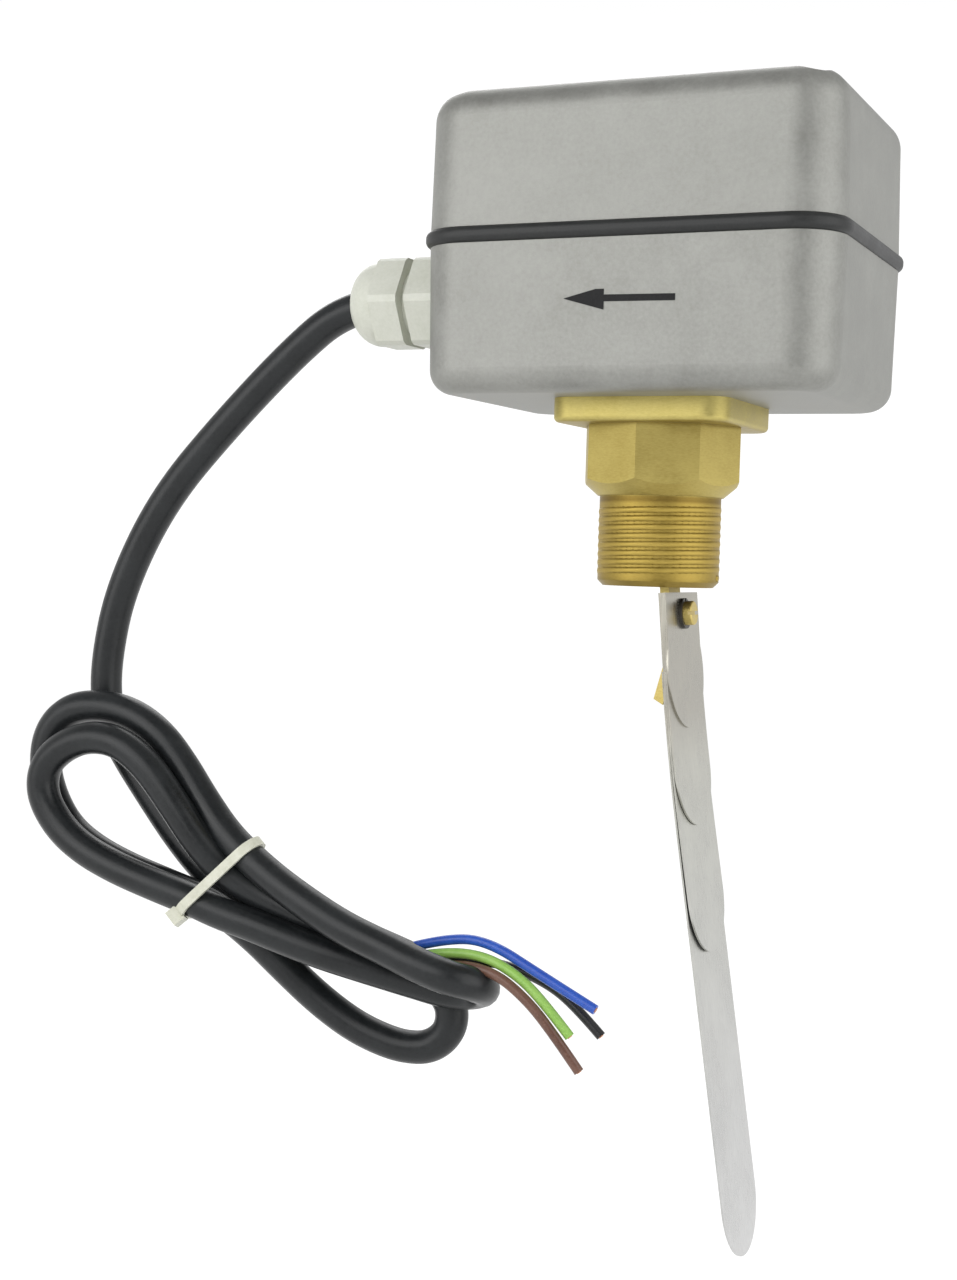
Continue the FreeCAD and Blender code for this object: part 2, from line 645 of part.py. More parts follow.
def gland_dome_nut():
    hexagon = prism(gland_flats, 6, Vector(gland_nut_x - gland_nut_hex, gland_y, gland_z),
                    gland_nut_hex, "x")
    hexagon = hexagon.common(cylinder(gland_flats * 0.555, gland_nut_hex, gland_nut_x - gland_nut_hex,
                                      gland_y, gland_z, "x"))
    dome_len = gland_nut_x - gland_nut_hex - gland_end_x
    rim = gland_flats / 2 - 0.3
    side = [
        Part.LineSegment(Vector(dome_len, 0, 0), Vector(dome_len, rim, 0)),
        Part.Arc(Vector(dome_len, rim, 0), Vector(dome_len * 0.32, rim * 0.88, 0), Vector(0, rim * 0.58, 0)),
        Part.LineSegment(Vector(0, rim * 0.58, 0), Vector(0, 0, 0)),
        Part.LineSegment(Vector(0, 0, 0), Vector(dome_len, 0, 0)),
    ]
    dome = Part.Face(Part.Wire([e.toShape() for e in side])).revolve(Vector(), Vector(1, 0, 0), 360)
    dome.translate(Vector(gland_end_x, gland_y, gland_z))
    nut = fuse([hexagon, dome])
    seal_x0 = gland_seal_x1 - gland_seal_len
    reach = gland_nut_x - seal_x0
    collar_way = gland_collar_r + seat_gap
    ways = [
        cylinder(cord_r + cord_way, gland_nut_x - gland_end_x, gland_end_x, gland_y, gland_z, "x"),
        turned([(0, 0), (gland_seal_small_r + seat_gap, 0), (gland_seal_large_r + seat_gap, gland_seal_len),
                (collar_way, gland_seal_len), (collar_way, reach), (0, reach)], seal_x0, gland_y, gland_z, "x"),
    ]
    return cut(nut, ways)


def gland_washer():
    ring = cylinder(gland_pad_r, gland_washer_t, gland_hex_x, gland_y, gland_z, "x")
    return cut(ring, [cylinder(gland_thread_r + seat_gap, gland_washer_t, gland_hex_x, gland_y, gland_z, "x")])


def gland_locknut():
    nut = prism(locknut_flats, 6, Vector(locknut_seat_x, gland_y, gland_z), locknut_t, "x")
    nut.rotate(Vector(0, gland_y, gland_z), Vector(1, 0, 0), 30)
    return cut(nut, [cylinder(gland_thread_r + thread_gap, locknut_t, locknut_seat_x, gland_y, gland_z, "x")])


# ---- Snap switch and its bracket -------------------------------------------
def switch_bracket():
    y0, y1 = switch_y, switch_y + sheet_t
    back = box(switch_x + sheet_inset, ear_x + sheet_t, y0, y1, foot_z, bracket_top)
    foot = box(ear_x - foot_pitch - foot_margin, ear_x + foot_margin, y0, y1 + bracket_foot, foot_z,
               foot_z + sheet_t)
    ear = box(ear_x, ear_x + sheet_t, -nut_side / 2 - ear_margin, y1,
              spring_z - nut_side / 2 - ear_margin, bracket_top)
    ways = [cylinder(range_screw_r + running, sheet_t, ear_x, 0, spring_z, "x")]
    ways += [cylinder(switch_screw_r + hole_gap, sheet_t, screw_x, y0, z, "y") for z in screw_zs]
    ways += [cylinder(bracket_screw_r + hole_gap, sheet_t, x, y, foot_z) for x, y in foot_places]
    return cut(fuse([back, foot, ear]), ways)


def bracket_screws():
    screws = []
    for x, y in foot_places:
        shank = cylinder(bracket_screw_r, sheet_t + bracket_screw_bite, x, y, foot_z - bracket_screw_bite)
        head_r, head_top = head_ratio * bracket_screw_r, foot_z + sheet_t + head_h
        head = cylinder(head_r, head_h, x, y, foot_z + sheet_t)
        slot = box(x - head_r, x + head_r, y - slot_w / 2, y + slot_w / 2, head_top - slot_depth, head_top)
        screws.append(cut(fuse([shank, head]), [slot]))
    return Part.makeCompound(screws)


def microswitch_body():
    half = switch_w / 2
    case = box(switch_x, terminal_x, -half, half, switch_z, switch_z + switch_h)
    case = case.makeFillet(switch_edge_r, [e for e in case.Edges if e.BoundBox.YLength > switch_w - flat])
    button_boss = cylinder(button_boss_r, button_boss_h, switch_x - button_boss_h, 0, plunger_z, "x")
    reach = leaf_curl_r
    ears = [box(leaf_pin_x - reach, switch_x, y, y + leaf_ear_t, leaf_pin_z - reach, leaf_pin_z + reach)
            for y in (-half, half - leaf_ear_t)]
    ways = [
        cylinder(plunger_r + running, button_boss_h + plunger_bore, switch_x - button_boss_h, 0,
                 plunger_z, "x"),
        cylinder(leaf_pin_r, switch_w, leaf_pin_x, -half, leaf_pin_z, "y"),
    ]
    ways += [cylinder(switch_screw_r + hole_gap, switch_w, screw_x, -half, z, "y") for z in screw_zs]
    return cut(fuse([case, button_boss] + ears), ways)


def switch_terminals():
    heights = [blade_mid_z + i * blade_pitch for i in (-1, 0, 1)]
    return Part.makeCompound([box(terminal_x, terminal_x + blade_len, -blade_t / 2, blade_t / 2,
                                  z - blade_w / 2, z + blade_w / 2) for z in heights])


def leaf_angle():
    """Idle lean of the leaf from the upright, which brings its nose to the lever."""
    lean = math.radians(rest_tilt)
    offset = lever_rod_r + leaf_nose_r + leaf_gap
    nose_x = (offset - (leaf_nose_z - pivot_z) * math.sin(lean)) / math.cos(lean)
    return nose_x, math.atan2(leaf_pin_x - nose_x, leaf_pin_z - leaf_nose_z)


def switch_leaf():
    """Sheet lever hinged at the top of the switch, with a rolled eye and a rounded nose."""
    nose_x, lean = leaf_angle()
    length = (leaf_pin_z - leaf_nose_z) / math.cos(lean)
    eye = cylinder(leaf_curl_r, leaf_w, 0, -leaf_w / 2, 0, "y")
    arm = box(-leaf_t / 2, leaf_t / 2, -leaf_w / 2, leaf_w / 2, -length, 0)
    nose = cylinder(leaf_nose_r, leaf_w, 0, -leaf_w / 2, -length, "y")
    leaf = cut(fuse([eye, arm, nose]), [cylinder(leaf_pin_r + running, leaf_w, 0, -leaf_w / 2, 0, "y")])
    leaf.rotate(Vector(), Vector(0, 1, 0), math.degrees(lean))
    leaf.translate(Vector(leaf_pin_x, 0, leaf_pin_z))
    return leaf


def switch_leaf_pin():
    return cylinder(leaf_pin_r, switch_w, leaf_pin_x, -switch_w / 2, leaf_pin_z, "y")


def switch_plunger():
    _, lean = leaf_angle()
    drop = leaf_pin_z - plunger_z
    touch_x = leaf_pin_x - (drop - plunger_r) * math.tan(lean) + leaf_t / 2 / math.cos(lean) + plunger_gap
    inner_end = switch_x + plunger_bore - seat_gap - plunger_travel
    return cylinder(plunger_r, inner_end - touch_x, touch_x, 0, plunger_z, "x")


def switch_screws():
    screws = []
    y0 = -switch_w / 2
    for z in screw_zs:
        length = switch_w + sheet_t + switch_nut_t
        shank = cylinder(switch_screw_r, length, screw_x, y0, z, "y")
        head_r = head_ratio * switch_screw_r
        head = cylinder(head_r, head_h, screw_x, y0 - head_h, z, "y")
        slot = box(screw_x - head_r, screw_x + head_r, y0 - head_h, y0 - head_h + slot_depth,
                   z - slot_w / 2, z + slot_w / 2)
        screws.append(cut(fuse([shank, head]), [slot]))
    return Part.makeCompound(screws)


def switch_nuts():
    nuts = []
    for z in screw_zs:
        nut = prism(switch_nut_flats, 6, Vector(screw_x, switch_y + sheet_t, z), switch_nut_t, "y")
        nuts.append(cut(nut, [cylinder(switch_screw_r + thread_gap, switch_nut_t, screw_x,
                                       switch_y + sheet_t, z, "y")]))
    return Part.makeCompound(nuts)


# ---- Range adjuster --------------------------------------------------------
def range_screw():
    knob_x = ear_x + sheet_t + seat_gap
    shank = cylinder(range_screw_r, knob_x - range_tip_x, range_tip_x, 0, spring_z, "x")
    knob = cylinder(knob_r, knob_len, knob_x, 0, spring_z, "x")
    groove_x = ear_x - seat_gap - clip_t - seat_gap / 2
    groove = cylinder(range_screw_r + 1, clip_t + seat_gap / 2, groove_x, 0, spring_z, "x")
    groove = cut(groove, [cylinder(range_screw_r - 0.6, 5, groove_x - 1, 0, spring_z, "x")])
    ways = [groove, box(knob_x + knob_len - 1.5, knob_x + knob_len, -0.75, 0.75, spring_z - knob_r,
                        spring_z + knob_r)]
    for i in range(knob_flutes):
        a = 2 * math.pi * (i + 0.5) / knob_flutes
        ways.append(cylinder(knob_flute_r, knob_len, knob_x, knob_r * math.sin(a),
                             spring_z + knob_r * math.cos(a), "x"))
    return cut(fuse([shank, knob]), ways)


def range_screw_clip():
    x0 = ear_x - seat_gap - clip_t
    ring = cylinder(clip_r, clip_t, x0, 0, spring_z, "x")
    bore = cylinder(range_screw_r - 0.6, clip_t, x0, 0, spring_z, "x")
    mouth = box(x0, x0 + clip_t, -1.3, 1.3, spring_z - clip_r, spring_z)
    return cut(ring, [bore, mouth])


def range_nut():
    half = nut_side / 2
    block = box(nut_x, nut_x + nut_len, -half, half, spring_z - half, spring_z + half)
    return cut(block, [cylinder(range_screw_r + running, nut_len, nut_x, 0, spring_z, "x")])


def range_spring():
    length = nut_x - cup_x - spring_wire - 2 * stop_gap
    helix = Part.makeHelix(length / spring_turns, length, spring_r)
    wire = prism(spring_wire, spring_wire_sides, Vector(spring_r, 0, 0), spring_wire, "y").Faces
    section = min(wire, key=lambda face: face.BoundBox.YMax).OuterWire
    coil = Part.Wire(helix).makePipeShell([section], True, True)
    coil.Placement = Placement(Vector(cup_x + stop_gap + spring_wire / 2, 0, spring_z),
                               Rotation(Vector(0, 1, 0), 90))
    return coil


# ---- Earth connection ------------------------------------------------------
def earth_screw():
    head_z = earth_z + lug_t
    shank_len = earth_bite - seat_gap
    shank = cylinder(earth_screw_r, shank_len + lug_t, earth_x, earth_y, earth_z - shank_len)
    head_r, head_top = head_ratio * earth_screw_r, head_z + head_h
    head = cylinder(head_r, head_h, earth_x, earth_y, head_z)
    slot = box(earth_x - head_r, earth_x + head_r, earth_y - slot_w / 2, earth_y + slot_w / 2,
               head_top - slot_depth, head_top)
    return cut(fuse([shank, head]), [slot])


def earth_lug():
    ring = cylinder(lug_eye_r, lug_t, earth_x, earth_y, earth_z)
    barrel_end = lug_barrel_y + lug_barrel_len
    tongue = box(earth_x - lug_barrel_r, earth_x + lug_barrel_r, barrel_end - lug_t, earth_y, earth_z,
                 earth_z + lug_t)
    barrel = cylinder(lug_barrel_r, lug_barrel_len, earth_x, lug_barrel_y,
                      earth_z + lug_barrel_r - lug_flattened, "y")
    above = box(earth_x - lug_barrel_r, earth_x + lug_barrel_r, lug_barrel_y, barrel_end, earth_z,
                earth_z + 2 * lug_barrel_r)
    barrel = barrel.common(above)
    return cut(fuse([ring, tongue, barrel]),
               [cylinder(earth_screw_r + hole_gap, lug_t, earth_x, earth_y, earth_z)])


# ---- Cord ------------------------------------------------------------------
hank_outline = (            # corners that the hank's rounded outline turns in
    (-186.0, -61.0), (-152.0, -58.5), (-135.0, -75.0), (-119.0, -94.0), (-92.0, -110.5),
    (-60.0, -122.0), (-32.0, -128.5), (-30.0, -138.5), (-44.0, -145.5), (-49.0, -161.0),
    (-68.0, -164.5), (-89.0, -156.0), (-112.0, -138.0), (-131.0, -124.0), (-158.0, -117.5),
    (-184.0, -107.0), (-193.5, -86.0),
)
hank_eyes = (               # large loop, then the tight bend at the lower end
    ((-180.0, -85.5), (-167.0, -76.5), (-157.0, -80.0), (-148.0, -97.0), (-135.0, -109.5),
     (-152.0, -103.0), (-170.0, -95.0)),
    ((-72.0, -148.0), (-64.0, -143.0), (-58.5, -145.0), (-59.5, -151.0), (-66.0, -152.0)),
)
cord_points = (
    (cord_seat_x, gland_y, gland_z),
    (-91.5, -16.0, 51.0),
    (-106.0, -16.0, 40.4),
    (-128.0, -16.0, 20.0),
    (-150.0, -16.0, -3.2),
    (-164.5, -16.0, -30.0),
    (-169.4, -16.0, -53.0),
    (-169.0, -16.0, -68.0),
)
core_points = {
    "core_blue": ((-61.0, -25.0, -127.0), (-50.0, -25.0, -123.2), (-37.0, -25.5, -122.2),
                  (-21.5, -26.5, -129.8), (-6.0, -27.0, -136.8)),
    "core_green_yellow": ((-61.0, -27.0, -129.5), (-50.0, -27.0, -126.5), (-38.0, -27.5, -126.0),
                          (-28.0, -28.0, -130.5), (-20.0, -28.5, -137.2), (-13.0, -28.5, -144.7)),
    "core_black": ((-60.0, -24.0, -131.0), (-47.0, -23.5, -128.6), (-33.0, -23.0, -128.6),
                   (-20.0, -22.5, -132.6), (-11.5, -22.5, -138.2), (-4.2, -22.5, -145.2)),
    "core_brown": ((-58.0, -28.0, -132.5), (-46.0, -28.5, -130.2), (-34.0, -30.2, -130.4),
                   (-24.5, -30.0, -136.5), (-16.5, -30.0, -144.7), (-9.6, -29.5, -153.5)),
}
inner_core_points = {
    "inner_core_brown": ((cord_inner_x, -18.0, 50.4), (-28.0, -20.0, 48.0), (-8.0, -21.5, 43.0),
                         (12.0, -20.5, 40.5), (25.0, -15.5, 39.8), (blade_x, -8.0, blade_mid_z - 8.0),
                         (blade_x, -blade_t / 2, blade_mid_z - 8.0)),
    "inner_core_blue": ((cord_inner_x, -18.0, 54.4), (-28.0, -19.5, 53.0), (-8.0, -20.0, 50.5),
                        (12.0, -19.0, 48.6), (25.0, -15.0, 47.9), (blade_x, -8.0, blade_mid_z),
                        (blade_x, -blade_t / 2, blade_mid_z)),
    "inner_core_black": ((cord_inner_x, -14.0, 54.4), (-28.0, -16.0, 57.0), (-8.0, -18.0, 58.5),
                         (12.0, -18.0, 57.6), (25.0, -14.5, 56.0), (blade_x, -8.0, blade_mid_z + 8.0),
                         (blade_x, -blade_t / 2, blade_mid_z + 8.0)),
    "inner_core_green_yellow": ((cord_inner_x, -14.0, 50.4), (-36.5, -13.2, 49.5), (-31.5, -8.7, 46.6),
                                (-31.0, 0.0, 41.8), (-34.7, 7.5, 36.6), (earth_x, lug_barrel_y, 34.6)),
}


def cord_sheath_in_gland():
    return cylinder(cord_r, cord_inner_x - cord_seat_x, cord_seat_x, gland_y, gland_z, "x")


def rounded_loop(points):
    """Closed wire whose sides are joined by the largest tangent arcs that fit."""
    p = [Vector(x, hank_y - hank_depth / 2, z) for x, z in points]
    edges = []
    ends = []
    for a, b, c in zip(p[-1:] + p[:-1], p, p[1:] + p[:1]):
        back, on = (a - b).normalize(), (c - b).normalize()
        half = (math.pi - back.getAngle(on)) / 2
        reach = 0.48 * min((a - b).Length, (c - b).Length)
        bend = reach / math.tan(half)
        middle = b + (back + on).normalize() * (bend / math.cos(half) - bend)
        edges.append(Part.Arc(b + back * reach, middle, b + on * reach).toShape())
        ends.append((b + back * reach, b + on * reach))
    for (_, start), (end, _) in zip(ends, ends[1:] + ends[:1]):
        edges.append(Part.LineSegment(start, end).toShape())
    return Part.Wire(Part.sortEdges(edges)[0])


def at_tie(shape):
    """Set a shape, modelled with the tie's loop in the level plane, on the hank."""
    shape.rotate(Vector(), Vector(0, 1, 0), -tie_lean)
    shape.translate(Vector(tie_x, 0, tie_z))
    return shape


def belt(out, width):
    """Block through the tie's loop, whose corners are rounded about the turns inside."""
    points = [Vector(along, y, -width / 2) for along, y in tie_turns]
    loop = Part.makePolygon(points + points[:1]).makeOffset2D(out)
    return Part.Face(loop).extrude(Vector(0, 0, width))


def cord_hank():
    """Outer shape of the gathered turns, with the two open eyes of its loops."""
    outline = rounded_loop(hank_outline)
    solid = Part.Face(outline).extrude(Vector(0, hank_depth, 0))
    solid = solid.makeFillet(hank_round, [e for e in solid.Edges if e.BoundBox.YLength < flat])
    eyes = [Part.Face(rounded_loop(eye)).extrude(Vector(0, hank_depth, 0)) for eye in hank_eyes]
    waist_w = tie_lock + 2 * seat_gap
    waist = box(-hank_depth, hank_depth, hank_y - hank_depth, hank_y + hank_depth, -waist_w / 2, waist_w / 2)
    return cut(solid, eyes + [at_tie(cut(waist, [belt(cord_r - seat_gap, waist_w)]))])


def cable_tie():
    """Strap drawn tight round the turns, with its square lock at the lower end."""
    along, y = tie_turns[1]
    strap = cut(belt(cord_r + tie_t, tie_w), [belt(cord_r, tie_w)])
    lock = box(cord_r, cord_r + tie_t + tie_lock_out, -tie_lock / 2, tie_lock / 2, -tie_lock / 2, tie_lock / 2)
    lock.rotate(Vector(), Vector(0, 0, 1), tie_lock_turn)
    lock.translate(Vector(along, y, 0))
    within = belt(cord_r, tie_lock)
    return at_tie(fuse([strap, cut(lock, [within])]))


NODES = {
    "process_fitting": process_fitting, "flange_o_ring": lambda: o_ring_shape(o_ring_r),
    "flange_screws": flange_screws, "pivot_ring": pivot_ring, "pivot_pin": pivot_pin,
    "bellows": bellows, "bellows_retainer": bellows_retainer, "paddle_lever": paddle_lever,
    "clamp_washer": clamp_washer, "clamp_screw": clamp_screw, "housing_base": housing_base,
    "housing_cover": housing_cover, "cover_gasket": cover_gasket, "cover_screws": cover_screws,
    "gland_body": gland_body, "gland_seal": gland_seal, "gland_dome_nut": gland_dome_nut,
    "gland_washer": gland_washer, "gland_locknut": gland_locknut, "switch_bracket": switch_bracket,
    "bracket_screws": bracket_screws, "microswitch_body": microswitch_body,
    "switch_terminals": switch_terminals, "switch_leaf": switch_leaf, "switch_leaf_pin": switch_leaf_pin,
    "switch_plunger": switch_plunger, "switch_screws": switch_screws, "switch_nuts": switch_nuts,
    "range_screw": range_screw, "range_screw_clip": range_screw_clip, "range_nut": range_nut,
    "range_spring": range_spring, "earth_screw": earth_screw, "earth_lug": earth_lug,
    "cord_sheath_in_gland": cord_sheath_in_gland, "cord_hank": cord_hank, "cable_tie": cable_tie,
}


def main():
    os.makedirs("parts", exist_ok=True)
    shapes = {name: make() for name, make in NODES.items()}
    for level, (name, length, turn) in enumerate(paddles):
        shapes[name] = paddle(level, length, turn)
    shapes["cord"] = tube("cord", cord_points, cord_r)
    for name, points in core_points.items():
        shapes[name] = tube(name, points, core_r)
    for name, points in inner_core_points.items():
        shapes[name] = tube(name, points, inner_core_r)
    for name, shape in sorted(shapes.items()):
        if not shape.isValid() or not shape.Solids:
            print("BAD", name)
        shape.exportStep("parts/" + name + ".step")
    print(len(shapes), "nodes")


main()
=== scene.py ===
# %% [markdown]
# # Dressing a paddle flow switch
# The solids of the switch come ready made, each in its place, in metres. This lesson gives each of
# them its finish, adds the cord, the thread and the arrow, and sets up the camera and the light.
# The origin is on the axis of the pipe thread, at its upper end, and the flow runs towards -X.

# %% Load the solids
import json
import math

import bpy
from mathutils import Matrix, Vector


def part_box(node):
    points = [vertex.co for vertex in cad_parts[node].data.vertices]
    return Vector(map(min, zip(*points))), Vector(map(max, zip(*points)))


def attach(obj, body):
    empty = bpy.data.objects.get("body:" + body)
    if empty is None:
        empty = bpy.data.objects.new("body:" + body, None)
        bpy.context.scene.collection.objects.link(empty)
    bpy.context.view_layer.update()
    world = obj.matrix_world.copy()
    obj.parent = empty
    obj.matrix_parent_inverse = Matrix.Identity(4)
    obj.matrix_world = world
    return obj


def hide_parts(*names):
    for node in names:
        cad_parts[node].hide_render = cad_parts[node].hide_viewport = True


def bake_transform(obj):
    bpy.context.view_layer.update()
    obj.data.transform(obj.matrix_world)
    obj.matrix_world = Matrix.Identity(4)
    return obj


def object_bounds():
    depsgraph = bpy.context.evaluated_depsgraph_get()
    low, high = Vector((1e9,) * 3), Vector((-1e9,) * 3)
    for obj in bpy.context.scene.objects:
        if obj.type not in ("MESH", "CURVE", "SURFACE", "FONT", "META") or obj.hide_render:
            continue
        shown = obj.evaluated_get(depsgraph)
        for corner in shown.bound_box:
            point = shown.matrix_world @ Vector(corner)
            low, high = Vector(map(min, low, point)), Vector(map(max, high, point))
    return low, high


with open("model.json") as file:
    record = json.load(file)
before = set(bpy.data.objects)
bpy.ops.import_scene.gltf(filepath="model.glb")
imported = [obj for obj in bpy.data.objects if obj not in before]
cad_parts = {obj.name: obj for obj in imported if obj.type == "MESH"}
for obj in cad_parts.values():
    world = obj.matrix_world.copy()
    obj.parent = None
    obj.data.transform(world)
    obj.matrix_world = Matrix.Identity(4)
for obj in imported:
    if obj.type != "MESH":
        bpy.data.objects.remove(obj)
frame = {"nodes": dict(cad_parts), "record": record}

cad_low, cad_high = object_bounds()
print("solids:", len(frame["nodes"]), "reach from", tuple(cad_low), "to", tuple(cad_high))

# %% [markdown]
# ## Small helpers
# Lengths are easier to read in millimetres, so `mm` turns them into metres. Operators act on all
# that is selected, so every new piece starts with nothing selected. `finish_piece` gives a piece its
# material and the body that it moves with.

# %% Units and housekeeping
def mm(*values):
    """Millimetres to metres: one number, or a point."""
    return values[0] / 1000 if len(values) == 1 else Vector(values) / 1000


def start_clean():
    """Nothing selected, in object mode, ready for the next primitive."""
    if bpy.context.object and bpy.context.object.mode != "OBJECT":
        bpy.ops.object.mode_set(mode="OBJECT")
    bpy.ops.object.select_all(action="DESELECT")


def name_it(name):
    """Names the active object and its data alike."""
    piece = bpy.context.object
    piece.name = name
    piece.data.name = name
    return piece


def settle(piece):
    """Moves the piece's place into its mesh, so that the object sits at the origin."""
    start_clean()
    bpy.context.view_layer.objects.active = piece
    piece.select_set(True)
    bpy.ops.object.transform_apply(location=True, rotation=True, scale=True)


def finish_piece(piece, material, body):
    """Gives a piece its material and the body that it rides on."""
    piece.data.materials.clear()
    piece.data.materials.append(material)
    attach(piece, body)
    print("made", piece.name)
    return piece


# %% [markdown]
# ## The camera
# The camera stands low and to the right of the front, so that the front and the right side of the
# housing show, and it leans a little. It is placed by the two angles, the distance and the lean.
# A lens of 54 mm at half a metre gives the strong taper of the housing.

# %% Place the camera
view_turn = math.radians(23.67)
view_height = math.radians(2.41)
view_lean = math.radians(-1.657)
view_distance = mm(533.45)
aim_across, aim_height = mm(-48.81), mm(-40.67)
lens_length, sensor_width = 54.46, 36
nearest_seen, furthest_seen = 0.01, 20
back = Vector((math.sin(view_turn) * math.cos(view_height),
               -math.cos(view_turn) * math.cos(view_height), math.sin(view_height)))
level_right = Vector((math.cos(view_turn), math.sin(view_turn), 0))
level_up = back.cross(level_right)
aim = level_right * aim_across + Vector((0, 0, aim_height))
right = level_right * math.cos(view_lean) - level_up * math.sin(view_lean)
up = level_right * math.sin(view_lean) + level_up * math.cos(view_lean)

camera_data = bpy.data.cameras.new("camera")
camera = bpy.data.objects.new("camera", camera_data)
bpy.context.scene.collection.objects.link(camera)
camera_data.lens = lens_length
camera_data.sensor_width = sensor_width
camera_data.clip_start = nearest_seen
camera_data.clip_end = furthest_seen
camera.matrix_world = (Matrix.Translation(aim + back * view_distance)
                       @ Matrix((right, up, back)).transposed().to_4x4())
bpy.context.scene.camera = camera
print("camera at", tuple(round(v, 4) for v in camera.matrix_world.translation))

# %% [markdown]
# ## Wiring helpers
# Floor, world and finishes are all built from nodes, and a few nodes come back everywhere: a maths
# node, a mapped range and a mix of two shaders. Each helper takes the node tree that it adds to.

# %% Write the wiring helpers
def new_material(name):
    """An empty node material and its node tree, ready to be wired."""
    material = bpy.data.materials.new(name + "_finish")
    material.use_nodes = True
    material.node_tree.nodes.clear()
    return material, material.node_tree


def arithmetic(tree, operation, first, second):
    """A maths node; each input is a socket or a number."""
    node = tree.nodes.new("ShaderNodeMath")
    node.operation = operation
    for socket, value in zip(node.inputs, (first, second)):
        if isinstance(value, (int, float)):
            socket.default_value = value
        else:
            tree.links.new(value, socket)
    return node.outputs[0]


def span(tree, value, from_range, to_range, kind="SMOOTHSTEP"):
    """Maps one range of a value onto another, with soft ends unless `kind` says otherwise."""
    node = tree.nodes.new("ShaderNodeMapRange")
    node.interpolation_type = kind
    node.inputs["From Min"].default_value, node.inputs["From Max"].default_value = from_range
    node.inputs["To Min"].default_value, node.inputs["To Max"].default_value = to_range
    tree.links.new(value, node.inputs["Value"])
    return node.outputs["Result"]


def join_shaders(tree, kind, shaders, share=None):
    """Adds or mixes two shaders; a mix has a share, from 0 for the first to 1 for the second."""
    node = tree.nodes.new(kind)
    if share is not None:
        tree.links.new(share, node.inputs["Fac"])
    for socket, shader in zip((node.inputs[-2], node.inputs[-1]), shaders):
        tree.links.new(shader.outputs[0], socket)
    return node


def close_tree(tree, kind, shader):
    """Wires the last shader to the tree's output node."""
    output = tree.nodes.new(kind)
    tree.links.new(shader.outputs[0], output.inputs["Surface"])


# %% [markdown]
# ## Floor, background and light
# The switch is held by its thread, so the floor lies well below it. To the camera and to shiny metal
# the floor looks white, by a glow that only those rays see, while the lamps stay at a plain level. It
# still takes a part of the lamps' light, and so it keeps the shadow. From below it is clear, so that
# the underside of the switch can be looked at.

# %% Build the floor
floor_drop, floor_size = mm(90), 12
floor_glow, floor_shade = 0.9, (0.25, 0.25, 0.25, 1)
paper_white = (0.8, 0.8, 0.79, 1)


def matt(tree, colour):
    """A diffuse shader of one colour."""
    shader = tree.nodes.new("ShaderNodeBsdfDiffuse")
    shader.inputs["Color"].default_value = colour
    return shader


floor_level = cad_low.z - floor_drop
start_clean()
bpy.ops.mesh.primitive_plane_add(size=floor_size, location=(0, 0, floor_level))
floor = name_it("floor")
floor_material, tree = new_material("floor_paper")
shown = tree.nodes.new("ShaderNodeEmission")
shown.inputs["Strength"].default_value = floor_glow
bright = join_shaders(tree, "ShaderNodeAddShader", (shown, matt(tree, floor_shade)))
path = tree.nodes.new("ShaderNodeLightPath")
camera_or_mirror = arithmetic(tree, "MAXIMUM", path.outputs["Is Camera Ray"], path.outputs["Is Glossy Ray"])
from_above = join_shaders(tree, "ShaderNodeMixShader", (matt(tree, paper_white), bright), camera_or_mirror)
side = tree.nodes.new("ShaderNodeNewGeometry")
clear = tree.nodes.new("ShaderNodeBsdfTransparent")
both_sides = join_shaders(tree, "ShaderNodeMixShader", (from_above, clear), side.outputs["Backfacing"])
close_tree(tree, "ShaderNodeOutputMaterial", both_sides)
floor.data.materials.append(floor_material)
print("floor at", round(floor_level, 3))

# %% [markdown]
# A world of one grey would show the same in every mirror, and metal would look like paint. So its
# light changes with the direction: bright behind the switch and along the horizon, weaker overhead
# and on the camera's side. The camera sees it plain white, and so does a clear material.

# %% Build the world
world = bpy.data.worlds.new("studio")
bpy.context.scene.world = world
world.use_nodes = True
tree = world.node_tree
tree.nodes.clear()
direction = tree.nodes.new("ShaderNodeTexCoord")
axes = tree.nodes.new("ShaderNodeSeparateXYZ")
tree.links.new(direction.outputs["Generated"], axes.inputs[0])
behind = span(tree, axes.outputs["Y"], (-0.95, 0.15), (0.38, 1.0))
overhead = span(tree, axes.outputs["Z"], (0.1, 0.8), (1.0, 0.4))
path = tree.nodes.new("ShaderNodeLightPath")
by_ray = span(tree, path.outputs["Is Glossy Ray"], (0, 1), (1.1, 1.0))
glow = arithmetic(tree, "MULTIPLY", arithmetic(tree, "MULTIPLY", behind, overhead), by_ray)
seen = arithmetic(tree, "MAXIMUM", path.outputs["Is Camera Ray"], path.outputs["Is Transmission Ray"])
sky = tree.nodes.new("ShaderNodeBackground")
sky.inputs["Color"].default_value = (1, 1, 1, 1)
tree.links.new(arithmetic(tree, "MAXIMUM", glow, seen), sky.inputs["Strength"])
close_tree(tree, "ShaderNodeOutputWorld", sky)
print("world", world.name)

# %% [markdown]
# Four soft lamps do the work. The front one lights the wall with the arrow evenly, and a weak one low
# on the left adds the long highlight down the cord. The right one is large and tall, so that it
# shows softly in the rounded corner and in the flat paddles. The rear one lights the top without
# reaching the edge in front. Each has its place and size in metres and its power in watts.

